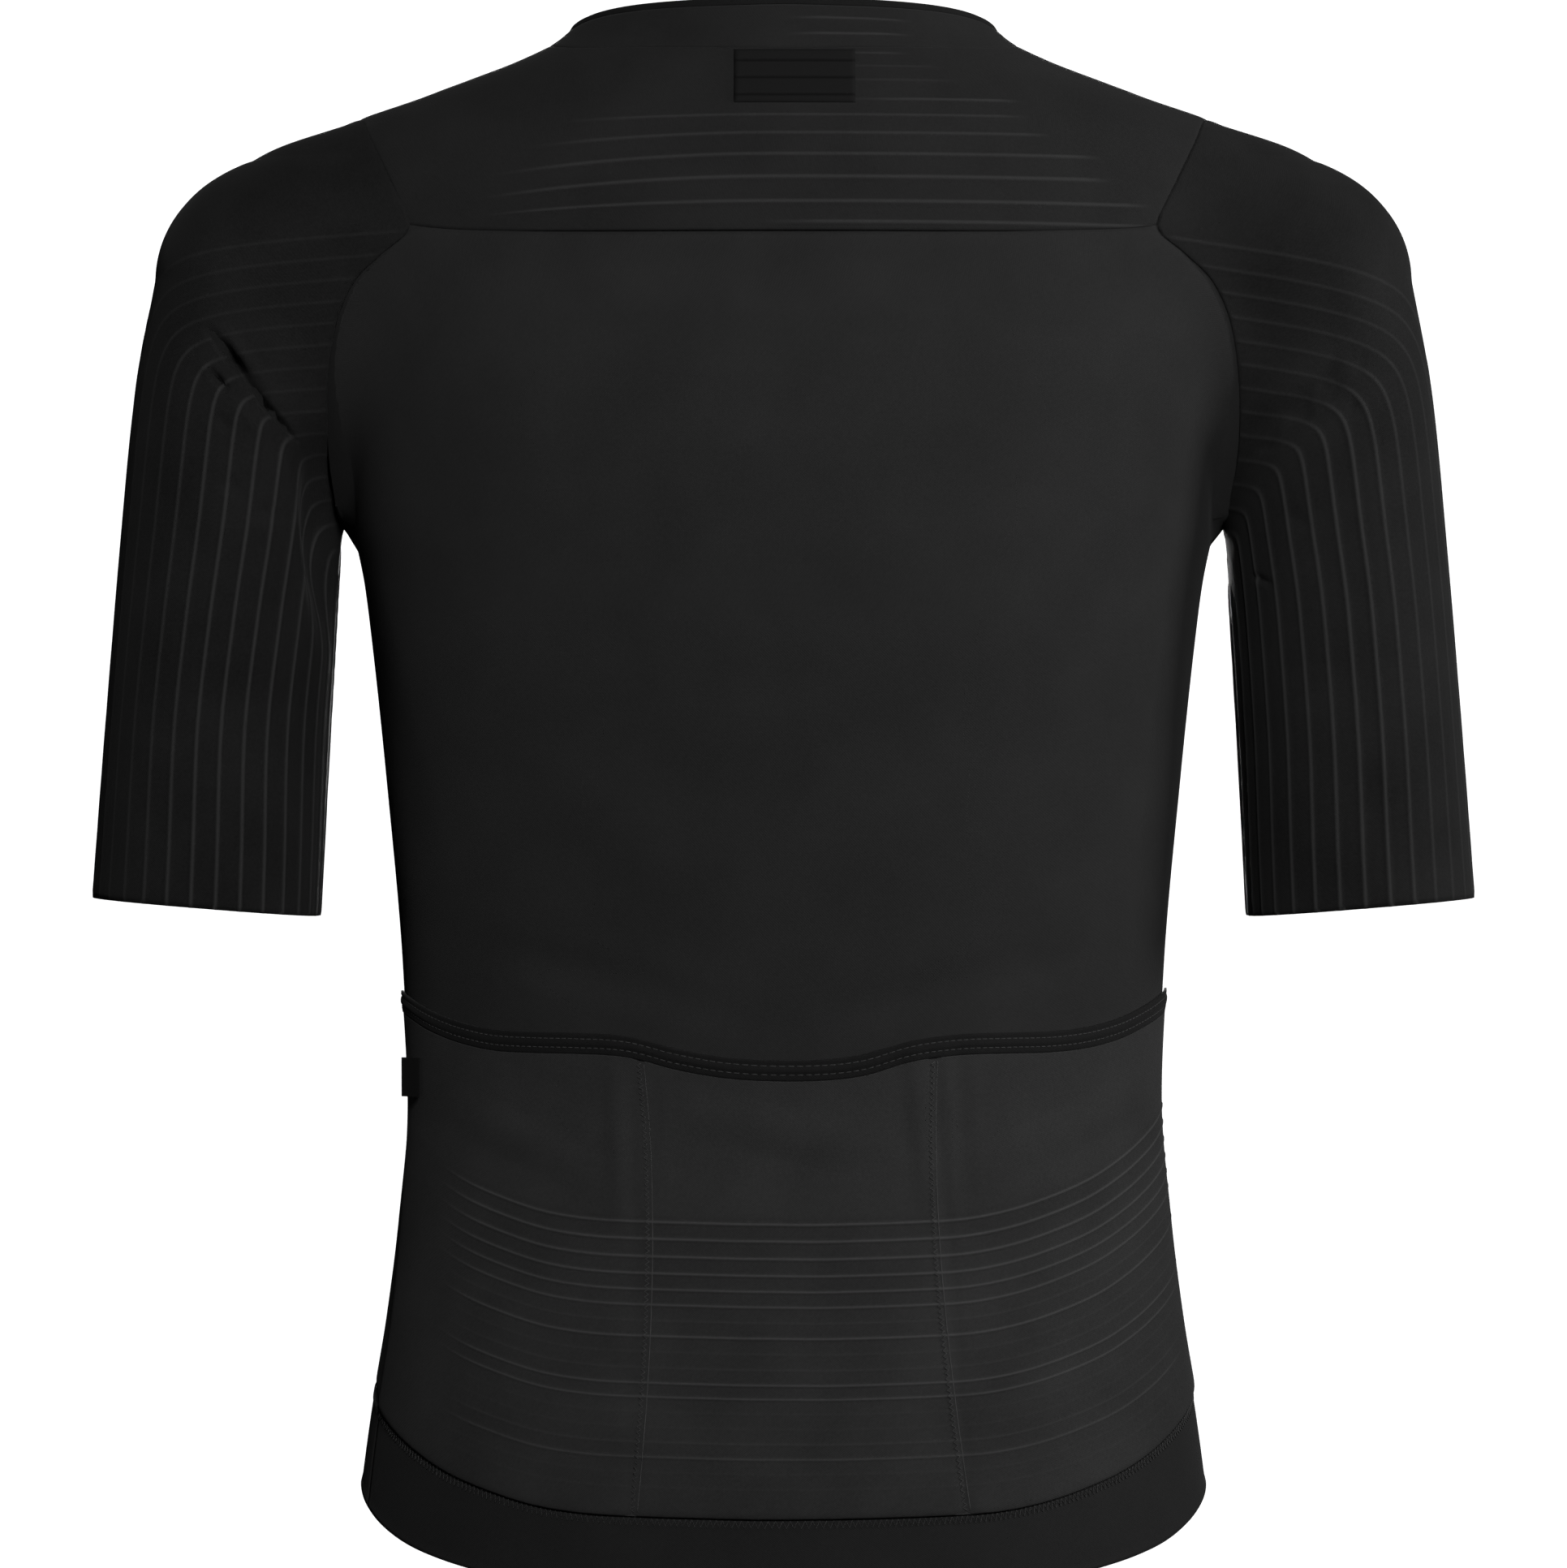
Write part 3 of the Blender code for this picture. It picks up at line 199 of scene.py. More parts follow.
# Seams between the pockets, at the hem seam and at the pocket mouth.
DIVIDERS = table(
    "x_foot z_foot x_mouth z_mouth",
    (0.0606, -0.59, 0.0583, -0.408), (-0.0728, -0.587, -0.06, -0.407),
)

# Zip teeth: their pitch, each bar's outline along it and across it, and how many are left out
# at the zip's ends. Their line is taken just off the middle, and then moved onto it.
TOOTH_PITCH = 0.0013
TOOTH_HALF_WIDTH = TOOTH_PITCH * 0.36
TOOTH_BAR = (-0.0005, 0.0006), (0.0008, 0.0011), (0.0022, 0.0010), (0.0027, 0.0002)
TOOTH_RING = (-1, 0.0), (-1, 0.7), (0, 1.0), (1, 0.7), (1, 0.0)
TEETH_LEFT_OUT = 3, 2
CENTRE_OFFSET = 0.0001

# Ribs on a sleeve: the level ones from the armhole, and how many go half round the arm.
LevelRibs = namedtuple("LevelRibs", "top pitch slope strength")
LEVEL_RIBS = {
    "left": LevelRibs(-0.0824, 0.0091, 0.05, 0.24),
    "right": LevelRibs(-0.0868, 0.0098, 0.12, 0.36),
}
LEVEL_FROM = 0.190
RIB_COUNTS = table(
    "height left right",
    (-0.15, 15.5, 15.3), (-0.197, 15.9, 15.8), (-0.24, 16.5, 16.3), (-0.285, 16.9, 16.4),
    (-0.336, 16.6, 16.2), (-0.38, 16.4, 16.1),
)
RIB_PHASE = {"left": 0.0, "right": -0.25}

# How softly ribs turn at the mitre: the top one by both numbers, the tenth and on by the first
TURN_SHARP, TURN_SOFT, TURN_RIBS = 0.6, 3.6, 10
# Where ribs fade: above the first one, at the armhole seam, and towards the arm's outside
TOP_RIB_FADE = 0.3, 0.5
ARMHOLE_RIB_END = 0.005
DOWN_FADE, DOWN_FADE_FROM, DOWN_FADE_REACH = 0.6, 0.1, 0.7
# The section of an arm along which its ribs are counted
OVAL_HALF_WIDTH, OVAL_HALF_DEPTH = 0.0455, 0.0530

# Ribs across the yoke and the collar: how they fade at each end
YOKE_SAG_FROM = 0.12
YOKE_FADES = 0.042, 0.014
COLLAR_RIB_FOOT = 0.0070
COLLAR_RIB_PITCH = 0.0086
COLLAR_FADES = (0.002, 0.020), (-0.054, 0.014)

# Patch below the collar: its place, its points, and where it is looked for behind the neck
PATCH_CENTRE = -0.0045
PATCH_WIDTH = 0.049
PATCH_LOW = -0.0330
PATCH_HIGH = -0.0105
PATCH_COLUMNS, PATCH_ROWS = 61, 49
PATCH_START = 0.06
# How far it stands off the cloth, and how it comes down to it round its rim
PATCH_LIFT = 0.0002
PATCH_RISE = 0.0008
PATCH_RIM = 0.0012
PATCH_RIM_HEIGHT = 0.024
# The three lines across it, as shares of its height, their grooves, and the shade painted dark along the
# grooves
PATCH_FIRST = 0.15
PATCH_STEP = 0.32
PATCH_GROOVE = 0.0004
PATCH_GROOVE_WIDTH = 0.11
PATCH_GROOVE_RIM = 0.003
PATCH_PAINTED_SHADE_WIDTH = 0.12
PATCH_PAINTED_SHADE_TONE = 1.2

# Light and camera
CAMERA_AWAY = 3.0
CAMERA_HEIGHT = -0.307
CAMERA_LENS = 167.0
CAMERA_SENSOR = 36.0
WORLD_LIGHT = 0.004
FLOOR_SIZE, FLOOR_HEIGHT, FLOOR_TONE = 12.0, -1.15, 0.85
WALL_SIZE, WALL_PLACE, WALL_TONE, WALL_GLOW = 24.0, -4.4, 0.9, 1.0

# Lights: name, place, what each points at, size, power
LIGHTS = (
    ("key", (-0.60, 2.8, 1.0), (0, 0, -0.3), 1.0, 86),
    ("side", (-2.9, 0.4, 0.4), (0, 0, -0.35), 0.8, 53),
    ("fill", (2.9, 0.2, 0.2), (0, 0, -0.3), 1.0, 4),
    ("rear", (0, -2.9, 0.2), (0, 0, -0.3), 1.0, 110),
)


# The trunk's cross-sections: half its width, and how far its back and front reach.
TRUNK = table(
    "height half_width back front",
    (0.03, 0.07, 0.044, -0.036), (0.012, 0.0805, 0.051, -0.04), (0.0, 0.0915, 0.059, -0.044),
    (-0.0035, 0.0965, 0.0615, -0.046), (-0.01, 0.11, 0.065, -0.049),
    (-0.0235, 0.144, 0.0715, -0.055), (-0.036, 0.1655, 0.078, -0.06),
    (-0.05, 0.1785, 0.084, -0.066), (-0.07, 0.186, 0.0915, -0.074), (-0.1, 0.189, 0.1, -0.089),
    (-0.15, 0.186, 0.108, -0.108), (-0.18, 0.1805, 0.11, -0.114), (-0.204, 0.1768, 0.11, -0.117),
    (-0.224, 0.173, 0.109, -0.118), (-0.245, 0.1702, 0.107, -0.117),
    (-0.305, 0.1637, 0.099, -0.111), (-0.385, 0.1567, 0.0895, -0.101),
    (-0.435, 0.1546, 0.0865, -0.096), (-0.486, 0.1586, 0.0905, -0.095),
    (-0.526, 0.1636, 0.0965, -0.097), (-0.566, 0.1702, 0.102, -0.099),
    (-0.6, 0.1747, 0.105, -0.101), (-0.65, 0.18, 0.108, -0.103),
)
TRUNK_ROUNDNESS = 2.25

ARM = table(
    "height centre_x centre_y half_width half_depth",
    (-0.1, 0.2195, 0.0, 0.039, 0.055), (-0.144, 0.2235, 0.0, 0.043, 0.055),
    (-0.204, 0.2277, -0.001, 0.0449, 0.054), (-0.285, 0.2336, -0.004, 0.046, 0.0525),
    (-0.365, 0.2391, -0.008, 0.047, 0.051),
)
ARM_ROUNDNESS = 2.4
SHOULDER_CAP = 0.0400

# How far the trunk and an arm reach for each other where they meet.
BLEND = table(
    "height reach",
    (-0.4, 0.008), (-0.205, 0.01), (-0.187, 0.015), (-0.16, 0.034), (-0.12, 0.056), (-0.06, 0.082),
    (0.05, 0.082),
)

# The armhole seam: degrees about its middle, from the shoulder over the back, under
# the arm and up the front, and how far it lies from the middle of the jersey.
ARMHOLE = table(
    "turn offset",
    (0, 0.1745), (24, 0.17), (43, 0.162), (63, 0.151), (70, 0.161), (80, 0.174), (97, 0.1815),
    (122, 0.185), (142, 0.1855), (161, 0.1835), (180, ARMPIT[0]), (203, 0.18), (228, 0.172),
    (255, 0.16), (285, 0.154), (318, 0.162), (360, 0.1745),
)
YOKE_CORNER_TURN = 63

# Round the neck, in degrees from the middle of the back.
NECK = table(
    "turn seam top",
    (0, -0.01, 0.0125), (45, -0.008, 0.0105), (90, -0.0035, 0.005), (125, -0.018, -0.006),
    (155, -0.041, -0.024), (180, -0.052, -0.033),
)

# Round the lower edge, in degrees from the middle of the back.
HEM = table(
    "turn seam edge",
    (0, -0.6, -0.631), (25, -0.598, -0.6285), (45, -0.5875, -0.621), (60, -0.575, -0.613),
    (75, -0.562, -0.602), (90, -0.553, -0.593), (120, -0.549, -0.588), (180, -0.547, -0.585),
)

# The pockets' top edge, in degrees from the middle of the back.
MOUTH = table(
    "turn edge",
    (0, -0.418), (11, -0.415), (18, -0.409), (27, -0.407), (43, -0.4065), (56, -0.403),
    (75, -0.3945), (90, -0.39),
)

# How far each side seam lies behind the middle of the side.
SIDE_SEAM = table(
    "height left right",
    (-0.64, 0.032, 0.01), (-0.553, 0.028, 0.009), (-0.428, 0.014, 0.006), (-0.3, 0.006, 0.004),
    (ARMPIT[1], 0.0, 0.0),
)


FINE_SAMPLES = 4001


def column(rows, name):
    return [getattr(row, name) for row in rows]


def curve_through(places, values):
    """A smooth curve through the values that never overshoots them."""
    order = np.argsort(places)
    places = np.array(places, float)[order]
    values = np.array(values, float)[order]
    steps = np.diff(places)
    slopes = np.diff(values) / steps
    before = 2 * steps[1:] + steps[:-1]
    after = steps[1:] + 2 * steps[:-1]
    same_way = slopes[1:] * slopes[:-1] > 0
    left = np.where(same_way, slopes[:-1], 1)
    right = np.where(same_way, slopes[1:], 1)
    tangents = np.empty_like(values)
    tangents[1:-1] = np.where(same_way, (before + after) / (before / left + after / right), 0)
    tangents[0] = slopes[0]
    tangents[-1] = slopes[-1]

    fine = np.linspace(places[0], places[-1], FINE_SAMPLES)
    index = np.clip(np.searchsorted(places, fine) - 1, 0, len(steps) - 1)
    step = steps[index]
    t = (fine - places[index]) / step
    smooth = (
        (1 + 2 * t) * (1 - t) ** 2 * values[index]
        + t * (1 - t) ** 2 * step * tangents[index]
        + t * t * (3 - 2 * t) * values[index + 1]
        + t * t * (t - 1) * step * tangents[index + 1]
    )
    return lambda place: np.interp(place, fine, smooth)


def curves(rows, key):
    return {name: curve_through(column(rows, key), column(rows, name)) for name in rows[0]._fields}


TRUNK_AT = curves(TRUNK, "height")
ARM_AT = curves(ARM, "height")
BLEND_AT = curves(BLEND, "height")
ARMHOLE_AT = curves(ARMHOLE, "turn")
NECK_AT = curves(NECK, "turn")
HEM_AT = curves(HEM, "turn")
RIBS_AT = curves(RIB_COUNTS, "height")
MOUTH_AT = curves(MOUTH, "turn")
SIDE_AT = curves(SIDE_SEAM, "height")


# --- The form ----------------------------------------------------------------------------


def trunk_depth(towards_back, height):
    """How deep the trunk is, behind its middle or in front of it."""
    return np.where(np.asarray(towards_back) > 0, TRUNK_AT["back"](height), -TRUNK_AT["front"](height))


def trunk_field(x, y, z):
    across = np.abs(x) / TRUNK_AT["half_width"](z)
    along = np.abs(y) / trunk_depth(y, z)
    reach = (across**TRUNK_ROUNDNESS + along**TRUNK_ROUNDNESS) ** (1 / TRUNK_ROUNDNESS)
    return np.hypot(x, y) * (1 - 1 / np.maximum(reach, 1e-3))


def arm_field(x, y, z):
    above = np.maximum(z - ARM[0].height, 0)
    from_x = np.abs(x) - ARM_AT["centre_x"](z)
    from_y = y - ARM_AT["centre_y"](z)
    across = np.abs(from_x) / ARM_AT["half_width"](z)
    along = np.abs(from_y) / ARM_AT["half_depth"](z)
    oval = (across**ARM_ROUNDNESS + along**ARM_ROUNDNESS) ** (1 / ARM_ROUNDNESS)
    reach = np.hypot(oval, above / SHOULDER_CAP)
    length = np.sqrt(from_x**2 + from_y**2 + above**2)
    return length * (1 - 1 / np.maximum(reach, 1e-3))


PROBE = 0.0005
LEAST_SLOPE = 0.2


def at_points(field, points):
    return field(*np.moveaxis(points, -1, 0))


def gradient(field, points):
    slopes = []
    for axis in range(3):
        step = np.zeros(3)
        step[axis] = PROBE
        slopes.append((at_points(field, points + step) - at_points(field, points - step)) / (2 * PROBE))
    return np.stack(slopes, axis=-1)


def distance(field, points):
    steepness = np.linalg.norm(gradient(field, points), axis=-1)
    return at_points(field, points) / np.maximum(steepness, LEAST_SLOPE)


def form_field(x, y, z):
    """About the distance outside the form, and negative inside it."""
    points = np.stack(np.broadcast_arrays(x, y, z), axis=-1)
    trunk = distance(trunk_field, points)
    arm = distance(arm_field, points)
    reach = BLEND_AT["reach"](points[..., 2])
    overlap = np.maximum(reach - np.abs(trunk - arm), 0) / reach
    return np.minimum(trunk, arm) - overlap**2 * reach / 4


def unit(vectors):
    return vectors / np.linalg.norm(vectors, axis=-1, keepdims=True)


def outward(points):
    return unit(gradient(form_field, points))


def settle(points, rounds=8):
    """Moves points along the form's slope until they lie on it."""
    points = np.array(points, float)
    for _ in range(rounds):
        slopes = gradient(form_field, points)
        steepness = np.maximum((slopes**2).sum(axis=-1), LEAST_SLOPE)
        points = points - slopes * (at_points(form_field, points) / steepness)[..., None]
    return points


def cast(starts, directions, furthest=0.2, samples=201):
    """Where rays from inside the form first leave it."""
    ray = np.linspace(0, furthest, samples)
    lines = starts[:, None] + ray[None, :, None] * directions[:, None]
    depth = at_points(form_field, lines)
    first = np.maximum(np.argmax(depth > 0, axis=1), 1)
    each = np.arange(len(starts))
    near, far = depth[each, first - 1], depth[each, first]
    reach = ray[first - 1] + (ray[first] - ray[first - 1]) * near / (near - far)
    return settle(starts + reach[:, None] * directions)


# --- Places on the trunk: degrees from the middle of the back, height, reach -------------


def signed_power(value, power):
    return np.sign(value) * np.abs(value) ** power


def oval(turn, roundness):
    """The sine and cosine of a turn, on a rounded oval."""
    return signed_power(np.sin(turn), 2 / roundness), signed_power(np.cos(turn), 2 / roundness)


def oval_turn(across, along, roundness):
    """The turn of a place given as shares of an oval's half sizes, and its share of the way out."""
    across, along = signed_power(across, roundness / 2), signed_power(along, roundness / 2)
    return np.arctan2(across, along), np.hypot(across, along) ** (2 / roundness)


def unwrap(places):
    """Points from (turn, height, reach), where a reach of 1 is on the trunk."""
    turn, height, reach = np.moveaxis(np.asarray(places, float), -1, 0)
    across, along = oval(np.radians(turn), TRUNK_ROUNDNESS)
    x = reach * across * TRUNK_AT["half_width"](height)
    return np.stack([x, reach * along * trunk_depth(along, height), height + 0 * x], axis=-1)


def wrap(points):
    """The (turn, height, reach) of points."""
    x, y, height = np.moveaxis(np.asarray(points, float), -1, 0)
    across, along = x / TRUNK_AT["half_width"](height), y / trunk_depth(y, height)
    turn, reach = oval_turn(across, along, TRUNK_ROUNDNESS)
    return np.stack([np.degrees(turn), height, reach], axis=-1)


def on_trunk(turns, heights):
    turns, heights = np.broadcast_arrays(turns, heights)
    return settle(unwrap(np.stack([turns, heights, np.ones(turns.shape)], axis=-1)))


def mirrored(points):
    """The same places on the jersey's other side."""
    return points * np.array([-1.0, 1.0, 1.0])


# --- Seams, each a line of points on the form --------------------------------------------


def lengths_along(points, axis=0):
    """Each point's distance along its own line of a grid, from the line's start."""
    steps = np.linalg.norm(np.diff(points, axis=axis), axis=-1)
    start = np.zeros_like(np.take(steps, [0], axis=axis))
    return np.concatenate([start, np.cumsum(steps, axis=axis)], axis=axis)


def spaced(points, count):
    """The line through the points, cut again into equal steps."""
    lengths = lengths_along(points)
    places = np.linspace(0, lengths[-1], count + 1)
    return np.stack([np.interp(places, lengths, points[:, axis]) for axis in range(3)], axis=-1)


def armhole_points(first_turn, last_turn, steps):
    """Evenly spaced points of the left armhole seam between two turns."""
    turns = np.linspace(first_turn, last_turn, 8 * steps + 1)
    flat = np.zeros(turns.shape)
    starts = np.stack([ARMHOLE_AT["offset"](turns), flat, flat + ARMHOLE_MIDDLE], axis=-1)
    turned = np.radians(turns)
    rays = np.stack([flat, np.sin(turned), np.cos(turned)], axis=-1)
    return settle(spaced(cast(starts, rays), steps))


def side_turn(height, side):
    """The side seam's turn at a height, on the left or the right."""
    behind = SIDE_AT[side](height) / TRUNK_AT["back"](height)
    return np.degrees(np.arccos(signed_power(behind, TRUNK_ROUNDNESS / 2)))


ARMHOLE_YOKE = armhole_points(0, YOKE_CORNER_TURN, YOKE_LOOP)
ARMHOLE_BACK = armhole_points(YOKE_CORNER_TURN, 180, BACK_LOOP)
ARMHOLE_FRONT = armhole_points(180, 360, FRONT_LOOP)
ARMHOLE_LOOP = np.concatenate([ARMHOLE_YOKE[:-1], ARMHOLE_BACK[:-1], ARMHOLE_FRONT[:-1]])


def edge_line(edge_at, turns):
    """Points on the trunk along an edge round it."""
    return on_trunk(turns, edge_at(np.abs(turns)))


def band_foot(turn):
    """The lower edge of the pockets' mouth band."""
    return MOUTH_AT["edge"](turn) - MOUTH_BAND


def shoulder_seam():
    """From the armhole up to the neck, on the left."""
    tip = ARMHOLE_YOKE[0]
    neck = NECK_AT["seam"](90.0)
    middle = tip[2] + SHOULDER_RISE * (neck - tip[2])
    heights = curve_through([0, 0.5, 1], [tip[2], middle, neck])
    ends = np.stack([wrap(tip), np.array([90.0, neck, 1.0])])
    share = np.linspace(0, 1, 33)
    line = ends[0] + share[:, None] * (ends[1] - ends[0])
    line[:, 1] = heights(share)
    points = settle(unwrap(line))
    points[0], points[-1] = tip, edge_line(NECK_AT["seam"], 90.0)
    return spaced(points, SHOULDER_STEPS)


def side_line(start, lowest, steps, side, crowding=1.0):
    """Down a side seam from a point on it, in steps that may crowd towards the start."""
    heights = start[2] + (lowest - start[2]) * np.linspace(0, 1, steps + 1) ** crowding
    points = on_trunk(side_turn(heights, side), heights)
    points[0] = start
    return points


def meeting_height(edge_at, turn, turn_at):
    """The height at which an edge round the trunk meets a line up it, from a guess at its turn."""
    for _ in range(12):
        turn = turn_at(edge_at(turn))
    return float(edge_at(turn))


def side_heights(edge_at):
    """The heights at which an edge round the trunk meets the side seams."""
    return {side: meeting_height(edge_at, 90.0, lambda z: side_turn(z, side)) for side in SIDES}


SIDES = ("left", "right")
FLIP = {"left": np.array([1.0, 1.0, 1.0]), "right": np.array([-1.0, 1.0, 1.0])}
SHOULDER = shoulder_seam()
MOUTH_HEIGHT = side_heights(MOUTH_AT["edge"])
SEAM_HEIGHT = side_heights(HEM_AT["seam"])
EDGE_HEIGHT = side_heights(HEM_AT["edge"])
BAND_HEIGHT = side_heights(band_foot)


def back_turns(heights):
    """Equal steps across the back, from the right side seam to the left."""
    ends = -side_turn(heights["right"], "right"), side_turn(heights["left"], "left")
    share = np.linspace(0, 1, BACK_STEPS + 1)
    # The steps close up towards the sides, where the cloth turns round the body.
    share = share + BACK_CROWDING * np.sin(2 * math.pi * share)
    return ends[0] + share * (ends[1] - ends[0])


# --- Panels ------------------------------------------------------------------------------


def relaxed(grid, rounds, passes, tube=False):
    """The grid with its inner points drawn towards their neighbours' middles, on the form."""
    grid = grid.copy()
    inner = np.s_[1:-1, :] if tube else np.s_[1:-1, 1:-1]
    for _ in range(passes):
        for _ in range(rounds):
            across = np.roll(grid, 1, axis=1) + np.roll(grid, -1, axis=1)
            upward = np.roll(grid, 1, axis=0) + np.roll(grid, -1, axis=0)
            grid[inner] = (across + upward)[inner] / 4
        grid[inner] = settle(grid[inner])
    return grid


def patch(bottom, top, left, right):
    """A grid on the form between four seams, with the seams' own steps."""
    low, high, start, end = bottom[None], top[None], left[:, None], right[:, None]
    u = np.linspace(0, 1, len(bottom))[None, :, None]
    v = np.linspace(0, 1, len(left))[:, None, None]
    corners = (
        (1 - u) * (1 - v) * low[:, :1]
        + u * (1 - v) * low[:, -1:]
        + (1 - u) * v * high[:, :1]
        + u * v * high[:, -1:]
    )
    points = settle((1 - v) * low + v * high + (1 - u) * start + u * end - corners)
    points[0], points[-1], points[:, 0], points[:, -1] = bottom, top, left, right
    return relaxed(points, RELAX_ROUNDS, RELAX_PASSES)


def join_lines(*lines):
    """Lines that meet end to end, as one."""
    return np.concatenate([lines[0]] + [line[1:] for line in lines[1:]])


@functools.lru_cache
def back_side_lines(side):
    """The back panel's edge on one side: armhole, waist, mouth band and pocket."""
    flip = FLIP[side]
    armhole = ARMHOLE_BACK * flip
    waist = side_line(ARMHOLE_BACK[-1], MOUTH_HEIGHT[side], WAIST_STEPS, side, WAIST_CROWDING) * flip
    band = side_line(waist[-1] * flip, BAND_HEIGHT[side], 1, side) * flip
    pocket = side_line(band[-1] * flip, SEAM_HEIGHT[side], POCKET_STEPS, side) * flip
    return armhole, waist, band, pocket


def yoke_seam():
    """The seam between yoke and back panel, from right to left."""
    corner = ARMHOLE_YOKE[-1]
    end, _, reach = wrap(corner)
    turns = np.linspace(-1, 1, BACK_STEPS + 1) * end
    share = np.abs(turns) / end
    heights = YOKE_SEAM + (corner[2] - YOKE_SEAM) * share**4
    line = settle(unwrap(np.stack([turns, heights, 1 + (reach - 1) * share**6], axis=-1)))
    line[0], line[-1] = mirrored(corner), corner
    return line


def neck_back_turns():
    return 90 * np.linspace(-1, 1, BACK_STEPS + 1)


def front_edge_turn(heights, offset):
    """The turn at which the trunk's front lies this far from the middle."""
    share = offset / TRUNK_AT["half_width"](heights)
    return 180 - np.degrees(np.arcsin(signed_power(share, TRUNK_ROUNDNESS / 2)))


def zip_height(edge_at):
    """The height at which an edge round the trunk meets the zip tape's outer edge."""
    return meeting_height(edge_at, 180.0, lambda z: front_edge_turn(z, TAPE_WIDTH))


FRONT_HEIGHTS = {
    "edge": zip_height(HEM_AT["edge"]),
    "seam": zip_height(HEM_AT["seam"]),
    "neck": zip_height(NECK_AT["seam"]),
    "top": zip_height(NECK_AT["top"]),
}
FRONT_HEIGHTS["binding"] = FRONT_HEIGHTS["top"] - BINDING_WIDTH * BINDING_STEEPNESS
FRONT_ROWS = WAIST_STEPS + 1 + POCKET_STEPS + FRONT_LOOP + SHOULDER_STEPS


@functools.lru_cache
def centre_lines(offset):
    """Up the front at one offset: hem band, panel, collar and binding, with matching steps."""
    stops = [FRONT_HEIGHTS[name] for name in ("edge", "seam", "neck", "binding", "top")]
    counts = BAND_STEPS, FRONT_ROWS, COLLAR_STEPS, BINDING_STEPS
    lines = []
    for low, high, count in zip(stops, stops[1:], counts):
        heights = np.linspace(low, high, count + 1)
        lines.append(on_trunk(front_edge_turn(heights, offset), heights))
    return lines


def front_turns(start, end):
    return np.linspace(start, end, FRONT_STEPS + 1)


def cuff_loop(count):
    """Evenly spaced points round the left cuff, from the outside over the back."""
    deep, across = oval(np.radians(np.linspace(0, 360, 241)), ARM_ROUNDNESS)
    x = across * ARM_AT["half_width"](CUFF_MIDDLE)
    y = ARM_AT["centre_y"](CUFF_MIDDLE) + deep * ARM_AT["half_depth"](CUFF_MIDDLE)
    z = CUFF_MIDDLE + x * math.tan(CUFF_TILT)
    return spaced(settle(np.stack([ARM_AT["centre_x"](CUFF_MIDDLE) + x, y, z], axis=-1)), count)


def sleeve_lines():
    """The armhole, mitre and cuff points of each line up the sleeve."""
    armhole = np.concatenate([ARMHOLE_LOOP, ARMHOLE_LOOP[:1]])
    cuff = cuff_loop(LOOP_STEPS)
    width, depth = ARM_AT["half_width"], ARM_AT["half_depth"]
    share = np.clip((cuff[:, 0] - ARM_AT["centre_x"](CUFF_MIDDLE)) / width(CUFF_MIDDLE), -1, 1) * 0.5 + 0.5
    mitre_low = np.array(ARMPIT) + MITRE_FROM_ARMPIT
    x, z = (mitre_low + share[:, None] * (np.array(MITRE_TOP) - mitre_low)).T
    y = cuff[:, 1] / depth(CUFF_MIDDLE) * depth(z)
    return armhole, settle(np.stack([x, y, z], axis=-1)), cuff


def sleeve_grid():
    """Rows from cuff to armhole and columns round the sleeve, on the form."""
    armhole, mitre, low = sleeve_lines()
    shares = np.concatenate(
        [np.linspace(0, 1, SLEEVE_LOW_STEPS + 1)[:-1], np.linspace(1, 2, SLEEVE_TOP_STEPS + 1)]
    )
    rows = []
    for share in shares:
        if share <= 1 - MITRE_ROUNDING:
            rows.append(low + (mitre - low) * share)
        elif share >= 1 + MITRE_ROUNDING:
            rows.append(mitre + (armhole - mitre) * (share - 1))
        else:
            # A round corner in place of the mitre's point.
            t = (share - 1 + MITRE_ROUNDING) / (2 * MITRE_ROUNDING)
            start = low + (mitre - low) * (1 - MITRE_ROUNDING)
            end = mitre + (armhole - mitre) * MITRE_ROUNDING
            rows.append((1 - t) ** 2 * start + 2 * t * (1 - t) * mitre + t * t * end)
    grid = settle(np.array(rows))
    grid[-1] = armhole
    return grid


# --- Finer grids -------------------------------------------------------------------------


def weights(count, stops, closed=False):
    """A smooth curve's weights on its points, at stops counted in steps between them."""
    base = np.floor(stops).astype(int)
    base = base if closed else np.clip(base, 0, count - 2)
    t = stops - base
    parts = (
        0.5 * (-(t**3) + 2 * t**2 - t),
        0.5 * (3 * t**3 - 5 * t**2 + 2),
        0.5 * (-3 * t**3 + 4 * t**2 + t),
        0.5 * (t**3 - t**2),
    )
    # One column more before the first point, and two past the last.
    spread = np.zeros((len(stops), count + 3))
    for step, part in enumerate(parts):
        spread[np.arange(len(stops)), base % count + step] += part
    before, result, after, beyond = np.split(spread, (1, count + 1, count + 2), axis=1)
    if closed:
        result[:, -1:] += before
        result[:, :2] += np.concatenate([after, beyond], axis=1)
        return result
    # Past an end the line runs straight on.
    result[:, :2] += before * np.array([2, -1])
    result[:, -2:] += after * np.array([-1, 2])
    return result


def resampled(grid, rows, columns, tube=False):
    """The grid cut again at these rows and columns. A tube's last column is its first."""
    if tube:
        across = weights(grid.shape[1] - 1, columns, closed=True)
        grid = grid[:, :-1]
    else:
        across = weights(grid.shape[1], columns)
    return np.einsum("ri,ijk,cj->rck", weights(grid.shape[0], rows), grid, across)


